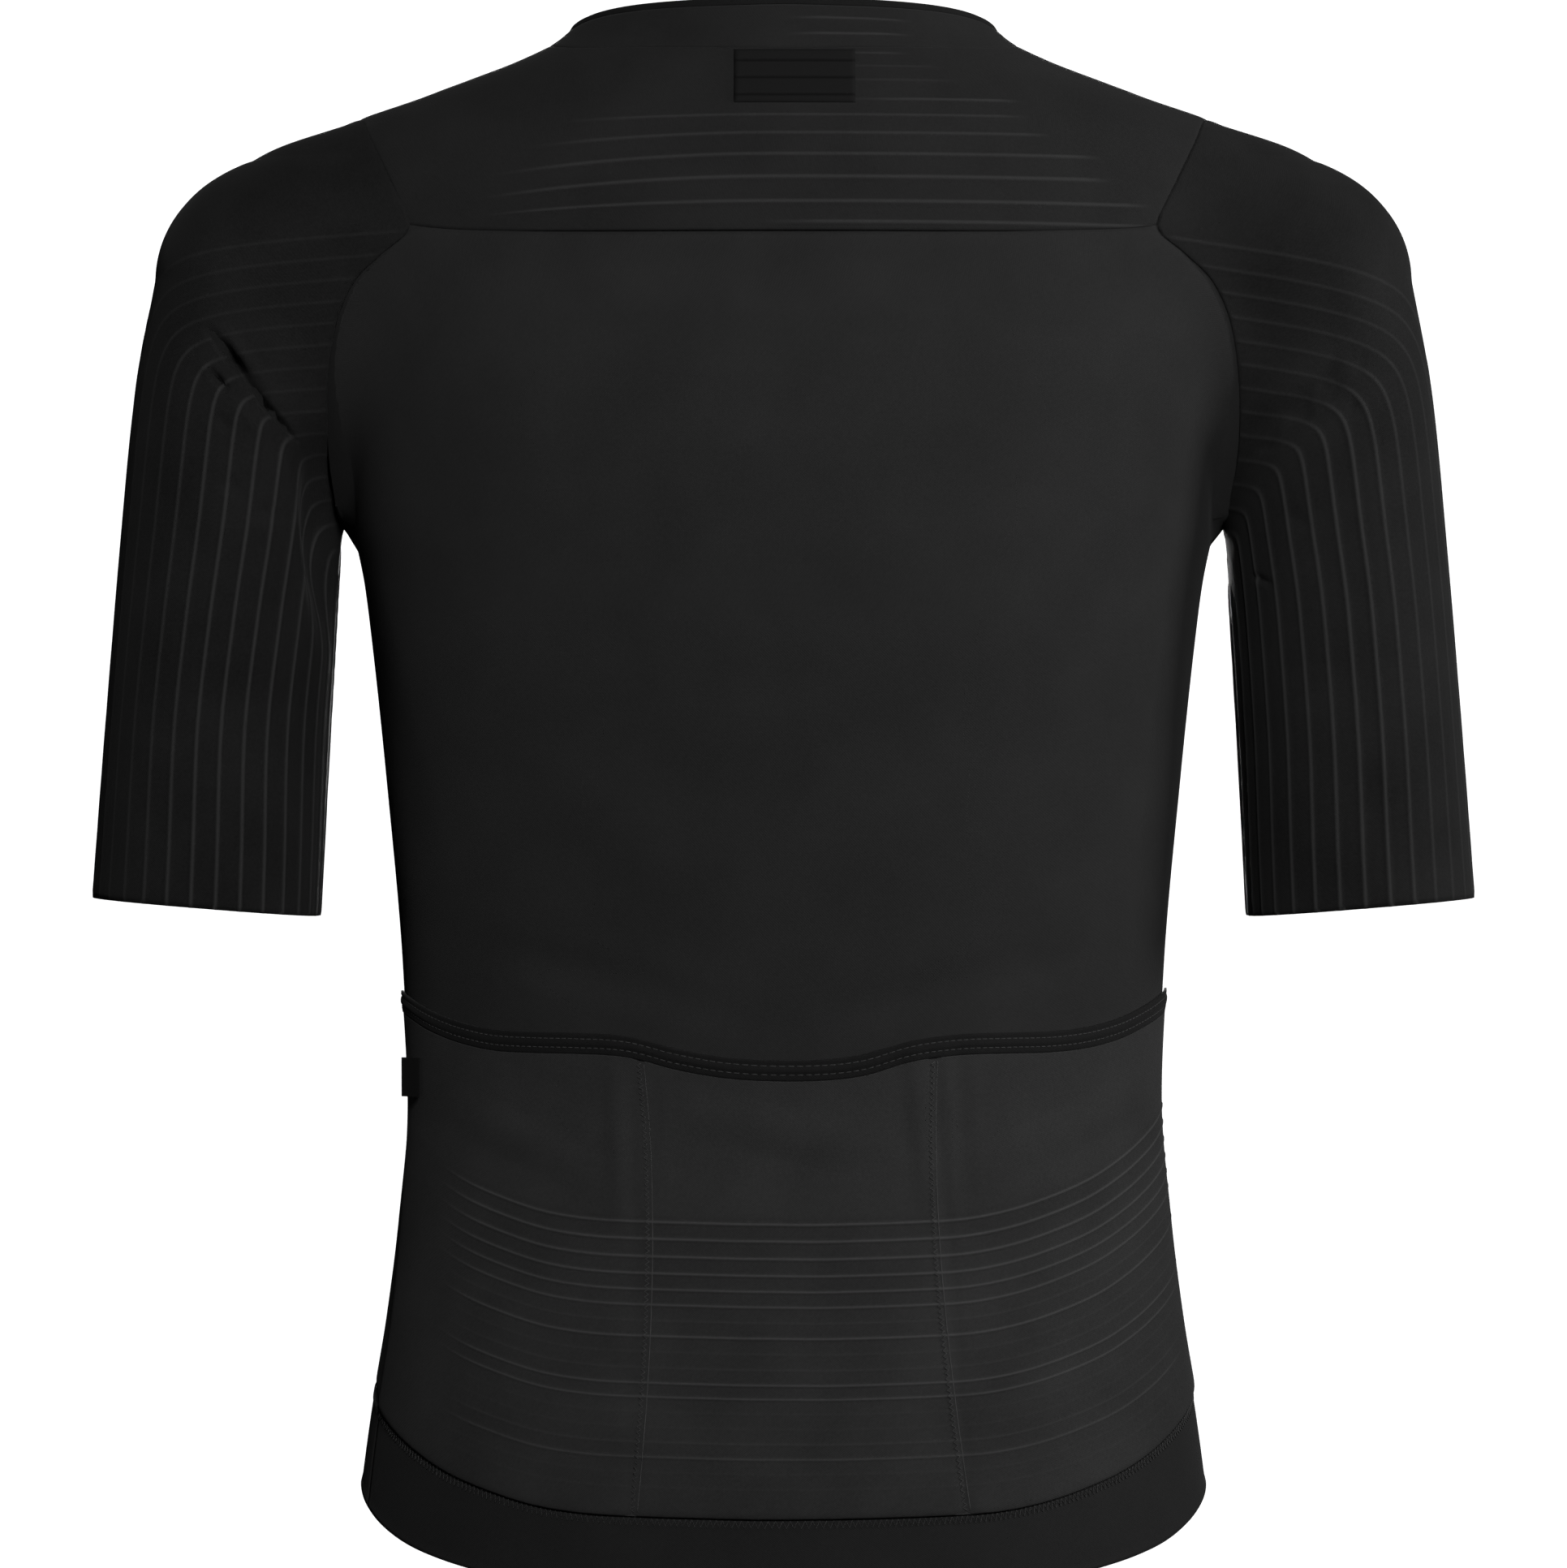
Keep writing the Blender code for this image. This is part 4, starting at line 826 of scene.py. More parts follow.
class Shell:
    """A fine grid on the form, with its facing, its places in metres and its relief.

    Rows run across the cloth and are counted up it, and columns run up it.
    """

    def __init__(self, grid, kind, tube=False):
        self.tube = tube
        row_split, column_split = SPLITS[kind]
        self.row_split, self.column_split = row_split, column_split
        rows = np.arange((grid.shape[0] - 1) * row_split + 1) / row_split
        columns = np.arange((grid.shape[1] - 1) * column_split + 1) / column_split
        self.rows, self.columns = np.meshgrid(rows, columns, indexing="ij")
        self.points = settle(resampled(grid, rows, columns, tube), 1)
        self.facing = unit(resampled(outward(grid), rows, columns, tube))
        self.up = lengths_along(self.points)
        self.across = lengths_along(self.points, 1)
        self.folds, self.relief, self.rib, self.mark = np.zeros((4, *self.rows.shape))

    def from_edge(self, edge):
        """How far each point lies from an edge, along its grid line."""
        if edge == "bottom":
            return self.up
        if edge == "top":
            return self.up[-1:] - self.up
        if edge == "left":
            return self.across
        return self.across[:, -1:] - self.across

    def outer(self):
        return self.points + (self.folds + self.relief)[..., None] * self.facing

    def at(self, rows, columns):
        """Points on the outer face at places counted in the coarse grid's steps."""
        outer = self.outer()
        row = np.clip(rows * self.row_split, 0, outer.shape[0] - 1.001)
        column = np.clip(columns * self.column_split, 0, outer.shape[1] - 1.001)
        i, j = np.floor(row).astype(int), np.floor(column).astype(int)
        s, t = (row - i)[..., None], (column - j)[..., None]
        low = outer[i, j] * (1 - t) + outer[i, j + 1] * t
        high = outer[i + 1, j] * (1 - t) + outer[i + 1, j + 1] * t
        return low * (1 - s) + high * s


def mesh_of(name, points, quads, triangles=(), values=None):
    quads = np.asarray(quads, int).reshape(-1, 4)
    triangles = np.asarray(triangles, int).reshape(-1, 3)
    corners = np.concatenate([quads.ravel(), triangles.ravel()])
    sizes = np.repeat([4, 3], [len(quads), len(triangles)])
    starts = np.cumsum(sizes) - sizes
    mesh = bpy.data.meshes.new(name)
    mesh.vertices.add(len(points))
    mesh.vertices.foreach_set("co", np.asarray(points, np.float32).ravel())
    mesh.loops.add(len(corners))
    mesh.loops.foreach_set("vertex_index", corners.astype(np.int32))
    mesh.polygons.add(len(starts))
    mesh.polygons.foreach_set("loop_start", starts.astype(np.int32))
    mesh.update(calc_edges=True)
    for label, numbers in (values or {}).items():
        layer = mesh.attributes.new(label, "FLOAT", "POINT")
        layer.data.foreach_set("value", np.asarray(numbers, np.float32).ravel())
    shape = bmesh.new()
    shape.from_mesh(mesh)
    bmesh.ops.recalc_face_normals(shape, faces=shape.faces)
    shape.to_mesh(mesh)
    shape.free()
    mesh.shade_smooth()
    piece = bpy.data.objects.new(name, mesh)
    bpy.context.scene.collection.objects.link(piece)
    return piece


def quads_of(ids):
    return np.stack([ids[:-1, :-1], ids[:-1, 1:], ids[1:, 1:], ids[1:, :-1]], axis=-1).reshape(-1, 4)


def strip_faces(first, second, points):
    """Triangles between two lines of points of any counts, which start and end together."""
    lengths = [lengths_along(points[line]) for line in (first, second)]
    shares = [length / length[-1] for length in lengths]
    faces = []
    i = j = 0
    while i < len(first) - 1 or j < len(second) - 1:
        if j == len(second) - 1 or (i < len(first) - 1 and shares[0][i + 1] <= shares[1][j + 1]):
            faces.append((first[i], first[i + 1], second[j]))
            i += 1
        else:
            faces.append((first[i], second[j + 1], second[j]))
            j += 1
    return faces


def add_cloth(name, shell, finish):
    """A thin shell: the outer face with all its relief, and the inner face with its folds."""
    outer = shell.outer()
    inner = shell.points + (shell.folds - CLOTH)[..., None] * shell.facing
    inner = inner[::INNER_EVERY, ::INNER_EVERY]
    if shell.tube:
        outer, inner = outer[:, :-1], inner[:, :-1]
    outer_ids = np.arange(outer.shape[0] * outer.shape[1]).reshape(outer.shape[:2])
    inner_ids = np.arange(inner.shape[0] * inner.shape[1]).reshape(inner.shape[:2]) + outer_ids.size
    spare = np.zeros(inner_ids.size)
    if shell.tube:
        outer_ids, inner_ids = looped(outer_ids), looped(inner_ids)
    points = np.concatenate([outer.reshape(-1, 3), inner.reshape(-1, 3)])
    rims = [(outer_ids[0], inner_ids[0]), (outer_ids[-1], inner_ids[-1])]
    if not shell.tube:
        rims += [(outer_ids[:, 0], inner_ids[:, 0]), (outer_ids[:, -1], inner_ids[:, -1])]
    triangles = []
    for outer_rim, inner_rim in rims:
        triangles += strip_faces(outer_rim, inner_rim, points)
    values = {}
    for label in ("rib", "mark", "across", "up"):
        field = getattr(shell, label)
        field = field[:, :-1] if shell.tube else field
        values[label] = np.concatenate([field.ravel(), spare])
    quads = np.concatenate([quads_of(outer_ids), quads_of(inner_ids)])
    return add_piece(mesh_of(name, points, quads, triangles, values), finish)


def looped(ids):
    return np.concatenate([ids, ids[:, :1]], axis=1)


def add_piece(piece, finish):
    piece.data.materials.append(finish)
    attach(piece, "jersey")
    return piece


def add_threads(name, paths, radius=STITCH_RADIUS):
    """Round threads along paths of points, closed at their ends, as one piece."""
    turns = np.arange(THREAD_SIDES) * 2 * math.pi / THREAD_SIDES
    points, quads, caps = [], [], []
    used = 0
    for path in paths:
        course = unit(np.gradient(path, axis=0))
        over = unit(np.cross(course, outward(path)))
        up = np.cross(over, course)
        ring = np.cos(turns)[None, :, None] * over[:, None] + np.sin(turns)[None, :, None] * up[:, None]
        points.append((path[:, None] + radius * ring).reshape(-1, 3))
        ids = looped(used + np.arange(len(path) * THREAD_SIDES).reshape(len(path), THREAD_SIDES))
        quads.append(quads_of(ids))
        for row in (ids[0], ids[-1]):
            caps += [(row[0], row[k], row[k + 1]) for k in range(1, THREAD_SIDES - 1)]
        used += len(path) * THREAD_SIDES
    piece = mesh_of(name, np.concatenate(points), np.concatenate(quads), caps)
    return add_piece(piece, sewing_thread())


# --- Folds and soft relief ---------------------------------------------------------------


def bump(share):
    """1 at 0, sinking smoothly to 0 at 1 and past it."""
    share = np.clip(np.abs(share), 0, 1)
    return (1 - share * share) ** 2


def smooth(share):
    share = np.clip(share, 0, 1)
    return share * share * (3 - 2 * share)


def ridge_wave(phase, width):
    """A narrow raised line at each whole number of the phase."""
    away = np.abs(phase - np.round(phase))
    return bump(away / width)


Fold = namedtuple("Fold", "face x1 z1 x2 z2 rise width soft")
# A fold comes in over this distance from the plane between the back and the front.
FACE_BLEND = 0.02


def fold_relief(points, folds):
    """Soft ridges and troughs between two points each, placed as seen from the back or front."""
    total = np.zeros(points.shape[:-1])
    for fold in folds:
        start, end = np.array([fold.x1, fold.z1]), np.array([fold.x2, fold.z2])
        course = end - start
        length = np.linalg.norm(course)
        flat = points[..., [0, 2]] - start
        along_it = (flat @ course) / length**2
        off = (flat[..., 0] * course[1] - flat[..., 1] * course[0]) / length
        swell = bump((along_it - 0.5) / (0.5 + fold.soft))
        side = points[..., 1] * fold.face
        there = np.clip(side / FACE_BLEND, 0, 1)
        total += fold.rise * bump(off / fold.width) * swell * there
    return total


# --- Folds placed one by one -------------------------------------------------------------

BACK, FRONT = 1, -1


def folds(face, *rows):
    """Folds on one face: where each starts and ends, its rise, its width, how softly it ends."""
    return tuple(Fold(face, *row) for row in rows)


BACK_FOLDS = folds(
    BACK,
    (0.125, -0.1, -0.12, -0.1005, -0.0034, 0.021, 0.2),
    (0.125, -0.11, 0.085, -0.165, 0.0016, 0.042, 0.6),
    (-0.125, -0.105, -0.085, -0.17, 0.002, 0.044, 0.6),
    (0.176, -0.225, 0.15, -0.33, -0.0012, 0.014, 0.3),
    (-0.172, -0.215, -0.152, -0.3, -0.0008, 0.012, 0.3),
    (0.12, -0.372, 0.03, -0.396, -0.001, 0.012, 0.4),
    (-0.03, -0.398, -0.12, -0.374, -0.0012, 0.013, 0.4),
)
POCKET_FOLDS = folds(
    BACK,
    (0.068, -0.412, 0.066, -0.48, 0.0012, 0.006, 0.3),
    (0.052, -0.41, 0.053, -0.47, -0.0007, 0.005, 0.3),
    (-0.052, -0.412, -0.058, -0.475, 0.001, 0.006, 0.3),
    (-0.07, -0.408, -0.073, -0.48, -0.0008, 0.006, 0.3),
    (0.03, -0.44, -0.025, -0.452, 0.0008, 0.012, 0.5),
    (0.128, -0.44, 0.08, -0.462, 0.0009, 0.011, 0.4),
    (-0.095, -0.455, -0.14, -0.435, 0.001, 0.011, 0.4),
    (0.1, -0.56, 0.03, -0.572, 0.0007, 0.013, 0.5),
    (-0.09, -0.56, -0.13, -0.545, 0.0008, 0.012, 0.5),
)
FRONT_FOLDS = folds(
    FRONT,
    (0.165, -0.205, 0.11, -0.165, 0.0016, 0.01, 0.3),
    (0.16, -0.235, 0.105, -0.2, -0.0014, 0.009, 0.3),
    (-0.168, -0.2, -0.115, -0.16, 0.0014, 0.009, 0.3),
    (-0.158, -0.232, -0.112, -0.205, -0.0012, 0.01, 0.3),
    (0.15, -0.36, 0.06, -0.372, -0.0012, 0.01, 0.4),
    (0.145, -0.392, 0.075, -0.398, 0.0012, 0.009, 0.4),
    (-0.15, -0.368, -0.07, -0.374, -0.001, 0.011, 0.4),
    (-0.148, -0.404, -0.06, -0.402, 0.001, 0.01, 0.4),
    (0.07, -0.08, 0.12, -0.12, -0.001, 0.012, 0.4),
    (-0.075, -0.082, -0.118, -0.125, -0.001, 0.011, 0.4),
)
SLEEVE_FOLDS = {
    "left": folds(
        BACK,
        (0.2332, -0.1223, 0.215, -0.147, -0.0065, 0.0019, 0.08),
        (0.2165, -0.145, 0.1974, -0.168, -0.0062, 0.0017, 0.1),
        (0.23, -0.131, 0.201, -0.17, -0.0014, 0.007, 0.1),
        (0.1905, -0.165, 0.184, -0.25, -0.01, 0.0105, 0.1),
        (0.231, -0.118, 0.204, -0.152, 0.001, 0.0045, 0.1),
        (0.2275, -0.1262, 0.2158, -0.143, -0.0052, 0.0018, 0.1),
        (0.2335, -0.1385, 0.2245, -0.1478, -0.0058, 0.002, 0.1),
        (0.237, -0.137, 0.2265, -0.1445, 0.0016, 0.0024, 0.1),
        (0.23, -0.158, 0.223, -0.164, -0.0009, 0.004, 0.3),
        (0.218, -0.156, 0.212, -0.166, 0.0007, 0.004, 0.3),
        (0.209, -0.164, 0.204, -0.174, -0.0007, 0.0036, 0.3),
        (0.227, -0.183, 0.22, -0.19, -0.0007, 0.005, 0.3),
        (0.214, -0.195, 0.203, -0.199, -0.0006, 0.005, 0.3),
    ) + folds(
        FRONT,
        (0.23, -0.128, 0.198, -0.169, -0.0016, 0.004, 0.1),
        (0.224, -0.136, 0.211, -0.154, 0.0009, 0.004, 0.2),
    ),
    "right": folds(
        BACK,
        (0.233, -0.13, 0.193, -0.172, -0.0016, 0.0065, 0.1),
        (0.212, -0.137, 0.189, -0.16, 0.0015, 0.0065, 0.1),
        (0.237, -0.133, 0.231, -0.14, -0.001, 0.0035, 0.2),
        (0.229, -0.133, 0.223, -0.141, 0.0009, 0.0035, 0.2),
        (0.226, -0.144, 0.22, -0.15, -0.0009, 0.0032, 0.2),
        (0.217, -0.145, 0.213, -0.154, 0.0008, 0.0034, 0.2),
        (0.214, -0.156, 0.208, -0.16, -0.0009, 0.0034, 0.2),
        (0.205, -0.157, 0.2, -0.166, 0.0007, 0.0032, 0.2),
        (0.233, -0.15, 0.229, -0.158, -0.0007, 0.0036, 0.2),
        (0.2, -0.169, 0.193, -0.172, -0.0008, 0.0034, 0.2),
        (0.191, -0.2215, 0.1995, -0.2265, -0.0014, 0.0018, 0.1),
        (0.205, -0.196, 0.212, -0.204, -0.0006, 0.005, 0.3),
    ) + folds(
        FRONT,
        (0.232, -0.126, 0.196, -0.17, -0.0014, 0.005, 0.1),
        (0.221, -0.141, 0.209, -0.159, 0.0008, 0.004, 0.2),
    ),
}


# --- Materials ---------------------------------------------------------------------------


def shader_nodes(name, roughness, sheen=0.0):
    finish = bpy.data.materials.new(name)
    finish.use_nodes = True
    tree = finish.node_tree
    shader = tree.nodes["Principled BSDF"]
    shader.inputs["Roughness"].default_value = roughness
    shader.inputs["Sheen Weight"].default_value = sheen
    shader.inputs["Specular IOR Level"].default_value = SPECULAR
    return finish, tree, shader


def add(tree, kind, **settings):
    """A new node. A setting is an input, as a number or a socket, or one of the node's choices."""
    node = tree.nodes.new(kind)
    for name, value in settings.items():
        place = name.replace("_", " ")
        if place not in node.inputs:
            setattr(node, name, value)
        elif isinstance(value, bpy.types.NodeSocket):
            tree.links.new(value, node.inputs[place])
        else:
            node.inputs[place].default_value = value
    return node


def math_node(tree, operation, *values):
    """The result of a sum. Each value is a number or a socket."""
    node = tree.nodes.new("ShaderNodeMath")
    node.operation = operation
    for place, value in enumerate(values):
        if isinstance(value, bpy.types.NodeSocket):
            tree.links.new(value, node.inputs[place])
        else:
            node.inputs[place].default_value = value
    return node.outputs[0]


def attribute(tree, label):
    return add(tree, "ShaderNodeAttribute", attribute_name=label).outputs["Fac"]


def object_place(tree):
    return add(tree, "ShaderNodeTexCoord").outputs["Object"]


def grey(value):
    return value, value, value


def colour_between(tree, shader, source, dark, light, start=0.0):
    """Gives the shader a colour that goes from dark to light as the source goes up to 1."""
    ramp = add(tree, "ShaderNodeValToRGB", Fac=source)
    for element, colour in zip(ramp.color_ramp.elements, (dark, light)):
        element.color = (*colour, 1)
    ramp.color_ramp.elements[0].position = start
    tree.links.new(ramp.outputs["Color"], shader.inputs["Base Color"])


def line_at_whole(tree, phase, width, strength):
    """Rises smoothly to a strength wherever the phase is a whole number."""
    away = math_node(tree, "PINGPONG", phase, 0.5)
    ends = {"From_Min": 0.0, "From_Max": width, "To_Min": strength, "To_Max": 0.0}
    line = add(tree, "ShaderNodeMapRange", interpolation_type="SMOOTHSTEP", Value=away, **ends)
    return line.outputs["Result"]


@functools.lru_cache
def knit(name, shaded_to=None):
    """Knitted cloth: fine rows of loops, a mottle of yarn, and lighter ribs.

    The cloth is a shade darker up to the rib shaded_to.
    """
    dark, light, base, gauge, ribbed = KNITS[name]
    finish, tree, shader = shader_nodes(name, CLOTH_ROUGHNESS, CLOTH_SHEEN)
    calc = functools.partial(math_node, tree)
    place = object_place(tree)
    wales = calc("SINE", calc("MULTIPLY", attribute(tree, "across"), 2 * math.pi / gauge))
    rows = calc("SINE", calc("MULTIPLY", attribute(tree, "up"), 2 * math.pi / (gauge * LOOP_SQUASH)))
    yarn = add(tree, "ShaderNodeTexNoise", Vector=place, Scale=YARN_SCALE, Detail=2.0)
    cloud = add(tree, "ShaderNodeTexNoise", Vector=place, Scale=CLOUD_SCALE, Detail=3.0)
    mottle = calc("MULTIPLY", calc("SUBTRACT", cloud.outputs["Fac"], 0.5), MOTTLE * base)
    fleck = calc("MULTIPLY", calc("SUBTRACT", yarn.outputs["Fac"], 0.5), FLECK * base)
    tone = calc("ADD", calc("ADD", mottle, fleck), base)
    if ribbed:
        phase = attribute(tree, "rib")
        line = calc("MULTIPLY", line_at_whole(tree, phase, RIB_WIDTH, 1.0), attribute(tree, "mark"))
        tone = calc("ADD", tone, calc("MULTIPLY", line, RIB_TONE))
        if shaded_to is not None:
            inside = calc("MULTIPLY", calc("SUBTRACT", shaded_to, phase), 2.0)
            inside.node.use_clamp = True
            tone = calc("SUBTRACT", tone, calc("MULTIPLY", inside, RIBBED_SHADE))
    colour_between(tree, shader, tone, grey(dark), grey(light))
    height = calc("ADD", calc("MULTIPLY", calc("MULTIPLY", wales, rows), 0.5), fleck)
    relief = add(tree, "ShaderNodeBump", Strength=0.5, Distance=LOOP_DEPTH, Height=height)
    tree.links.new(relief.outputs["Normal"], shader.inputs["Normal"])
    return finish


@functools.lru_cache
def sewing_thread():
    finish, tree, shader = shader_nodes("sewing_thread", 0.7)
    twist = add(tree, "ShaderNodeTexNoise", Scale=2500.0, Detail=1.0)
    colour_between(tree, shader, twist.outputs["Fac"], grey(0.020), grey(0.055))
    return finish


def patch_painted_groove_shade():
    """Plain black cloth, with shade painted dark in lines along the patch's grooves."""
    finish, tree, shader = shader_nodes("patch_painted_groove_shade", 0.85)
    grain = add(tree, "ShaderNodeTexNoise", Scale=1200.0, Detail=2.0)
    height = add(tree, "ShaderNodeSeparateXYZ", Vector=object_place(tree)).outputs["Z"]
    pitch = PATCH_STEP * (PATCH_HIGH - PATCH_LOW)
    first = PATCH_LOW + PATCH_FIRST * (PATCH_HIGH - PATCH_LOW)
    # Counted from a whole number of lines below the patch, so that the count stays positive.
    phase = math_node(tree, "DIVIDE", math_node(tree, "SUBTRACT", height, first - 9 * pitch), pitch)
    # Painted shade: the cloth is darkened along the bottoms of the grooves.
    line = line_at_whole(tree, phase, PATCH_PAINTED_SHADE_WIDTH, PATCH_PAINTED_SHADE_TONE)
    tone = math_node(tree, "SUBTRACT", grain.outputs["Fac"], line)
    colour_between(tree, shader, tone, grey(0.0022), grey(0.0084))
    return finish


# --- Pieces ------------------------------------------------------------------------------


def declare(node):
    """Hides the imported node, for which a new piece stands."""
    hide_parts(node)


def seam_groove(shell, seam, *edges):
    """The cloth rolls in at a seam, a little more at the seam itself."""
    depth, reach = GROOVES[seam]
    for edge in edges:
        shell.relief -= depth * np.exp(-shell.from_edge(edge) / reach)


def raise_ribs(shell, rib, shown, rise=RIB_RISE, foot=RIB_FOOT):
    """Raises ribs, from each point's place among them and how clearly they show there."""
    shell.rib, shell.mark = rib, shown
    shell.relief += rise * ridge_wave(rib, foot) * shown


def laid_over(shell):
    """The shell, moved out to lie on the layer below it."""
    shell.points = shell.points + (LAYER_GAP + WALL) * shell.facing
    return shell


def stops_along(shell, rows, columns, pitch, parts):
    """Points on the outer face from one place to another, so many to each pitch."""
    rough = shell.at(np.linspace(*rows, SPAN_SAMPLES), np.linspace(*columns, SPAN_SAMPLES))
    count = int(lengths_along(rough)[-1] / pitch) * parts + 1
    return shell.at(np.linspace(*rows, count), np.linspace(*columns, count))


def running(shell, row, columns):
    """A row of stitches that dips under the cloth between them."""
    path = stops_along(shell, (row, row), columns, STITCH_LENGTH, 4)
    above = np.abs(np.sin(np.pi * np.arange(len(path)) / 4))
    rise = STITCH_LIFT - STITCH_SINK * (1 - above)
    return path + rise[:, None] * outward(path)


def zigzag(shell, rows, columns, width, pitch):
    """A zigzag of stitches from one place to another."""
    path = stops_along(shell, rows, columns, pitch, 2)
    facing = outward(path)
    over = unit(np.cross(facing, np.gradient(path, axis=0)))
    swing = width / 2 * (2 * (np.arange(len(path)) % 2) - 1)
    return path + swing[:, None] * over + ZIGZAG_LIFT * facing


def back_grids():
    """The grids of the pockets, their mouth band and the back above them, and the hem seam."""
    edges = {side: back_side_lines(side) for side in SIDES}

    def between_sides(line, part):
        """The line, with its ends moved to the foot of this part of the side seams."""
        line[0], line[-1] = edges["right"][part][-1], edges["left"][part][-1]
        return line

    mouth = between_sides(edge_line(MOUTH_AT["edge"], back_turns(MOUTH_HEIGHT)), 1)
    below = between_sides(edge_line(band_foot, back_turns(BAND_HEIGHT)), 2)
    seam = between_sides(edge_line(HEM_AT["seam"], back_turns(SEAM_HEIGHT)), 3)
    upper_sides = [join_lines(*edges[side][:2])[::-1] for side in ("right", "left")]
    upper = patch(mouth, yoke_seam(), *upper_sides)
    lower = patch(seam, below, edges["right"][3][::-1], edges["left"][3][::-1])
    return lower, np.stack([below, mouth]), upper, seam


def build_back(grid):
    back = Shell(grid, "back")
    back.folds += fold_relief(back.points, BACK_FOLDS)
    seam_groove(back, "back", "top", "left", "right")
    piece = add_cloth("back_cloth", back, knit("fine_knit"))
    declare("back_panel")


def pocket_ribs(pocket):
    """Each point's place among the ribs, which fade out short of both sides."""
    heights = column(POCKET_LINES, "height")
    rib = np.interp(pocket.up, heights, np.arange(len(heights)))
    shown = np.array(column(POCKET_LINES, "strength"))[np.round(rib).astype(int)]
    x = pocket.points[..., 0]
    fade = 1.0
    for end, reach in POCKET_FADES:
        fade = fade * smooth((end - x) / reach)
    return rib, shown * fade


def divider_place(divider, z):
    """Where the seam between two pockets is at a height."""
    return np.interp(z, (divider.z_foot, divider.z_mouth), (divider.x_foot, divider.x_mouth))


def column_at(shell, row, x):
    """Which column of the coarse grid passes a place on a row."""
    places = shell.points[row, :, 0]
    order = np.argsort(places)
    return float(np.interp(x, places[order], shell.columns[row][order]))


def build_pockets(grid):
    """Ribbed cloth laid over the back, and sewn into three pockets."""
    pocket = laid_over(Shell(grid, "pocket"))
    pocket.folds += fold_relief(pocket.points, POCKET_FOLDS)
    raise_ribs(pocket, *pocket_ribs(pocket), POCKET_RIB_RISE)
    seam_groove(pocket, "plain", "bottom", "left", "right")
    for divider in DIVIDERS:
        away = pocket.points[..., 0] - divider_place(divider, pocket.points[..., 2])
        pocket.relief -= DIVIDER_DIP * bump(away / DIVIDER_REACH)
    piece = add_cloth("pocket_cloth", pocket, knit("pocket_knit", len(POCKET_LINES) - PLAIN_RIBS))
    rows = END_MARGIN, POCKET_STEPS - END_MARGIN
    stitches = []
    for divider in DIVIDERS:
        columns = column_at(pocket, 0, divider.x_foot), column_at(pocket, -1, divider.x_mouth)
        stitches.append(zigzag(pocket, rows, columns, *DIVIDER_ZIGZAG))
        cord = np.linspace(*columns, DIVIDER_SAMPLES) + DIVIDER_CORD
        stitches.append(pocket.at(np.linspace(*rows, DIVIDER_SAMPLES), cord))
    trim = add_threads("divider_stitches", stitches, DIVIDER_RADIUS)
    declare("pocket_panel")


def build_mouth_band(grid):
    """Elastic along the pockets' top edge, drawn in under two rows of stitches."""
    band = laid_over(Shell(grid, "mouth"))
    height = band.up / band.up[-1:]
    band.relief += MOUTH_SWELL * bump((height - 0.5) / 0.5)
    for row in MOUTH_ROWS:
        band.relief -= MOUTH_SWELL * bump((height - row) / MOUTH_ROW_WIDTH)
    band.folds += fold_relief(band.points, POCKET_FOLDS)
    piece = add_cloth("pocket_band_cloth", band, knit("band_knit"))
    columns = MOUTH_MARGIN, BACK_STEPS - MOUTH_MARGIN
    trim = add_threads("pocket_band_stitches", [running(band, row, columns) for row in MOUTH_ROWS])
    declare("pocket_mouth_band")


def yoke_ribs(points):
    """Which rib a point of the yoke is on, and how clearly the rib shows there."""
    x, z = points[..., 0], points[..., 2]
    sag = np.maximum(x / YOKE_SAG_FROM, 0) ** 2
    heights = [line.height - line.sag * sag for line in YOKE_LINES]
    rib = sum(np.clip((high - z) / (high - low), 0, 1) for high, low in zip(heights, heights[1:]))
    nearest = np.round(rib).astype(int)
    left, right, strength = [
        np.array(column(YOKE_LINES, name))[nearest] for name in ("left_end", "right_end", "strength")
    ]
    left_fade, right_fade = YOKE_FADES
    return rib, strength * smooth((left - x) / left_fade) * smooth((x - right) / right_fade)


def build_yoke():
    neck = edge_line(NECK_AT["seam"], neck_back_turns())
    side = join_lines(ARMHOLE_YOKE[::-1], SHOULDER)
    neck[0], neck[-1] = mirrored(SHOULDER[-1]), SHOULDER[-1]
    yoke = Shell(patch(yoke_seam(), neck, mirrored(side), side), "yoke")
    raise_ribs(yoke, *yoke_ribs(yoke.points), RIB_RISE, YOKE_RIB_FOOT)
    seam_groove(yoke, "yoke", "bottom", "left", "right")
    seam_groove(yoke, "neck", "top")
    piece = add_cloth("yoke_cloth", yoke, knit("yoke_knit"))
    declare("back_yoke")


def build_front(side):
    """One front, from side seam to zip. Returns its hem seam."""
    flip = FLIP[side]
    below_arm = join_lines(*back_side_lines(side)[1:]) * flip
    outer_side = join_lines(below_arm[::-1], ARMHOLE_FRONT, SHOULDER)
    inner_side = centre_lines(TAPE_WIDTH)[1]
    ends = wrap(below_arm[-1])[0], wrap(inner_side[0])[0]
    bottom = edge_line(HEM_AT["seam"], front_turns(*ends))
    bottom[0], bottom[-1] = below_arm[-1], inner_side[0]
    neck = edge_line(NECK_AT["seam"], front_turns(90.0, wrap(inner_side[-1])[0]))
    neck[0], neck[-1] = SHOULDER[-1], inner_side[-1]
    front = Shell(patch(*[line * flip for line in (bottom, neck, outer_side, inner_side)]), "front")
    front.folds += fold_relief(front.points, FRONT_FOLDS)
    seam_groove(front, "plain", "bottom", "top", "left", "right")
    piece = add_cloth("front_cloth_" + side, front, knit("fine_knit"))
    declare("front_" + side)
    return bottom * flip


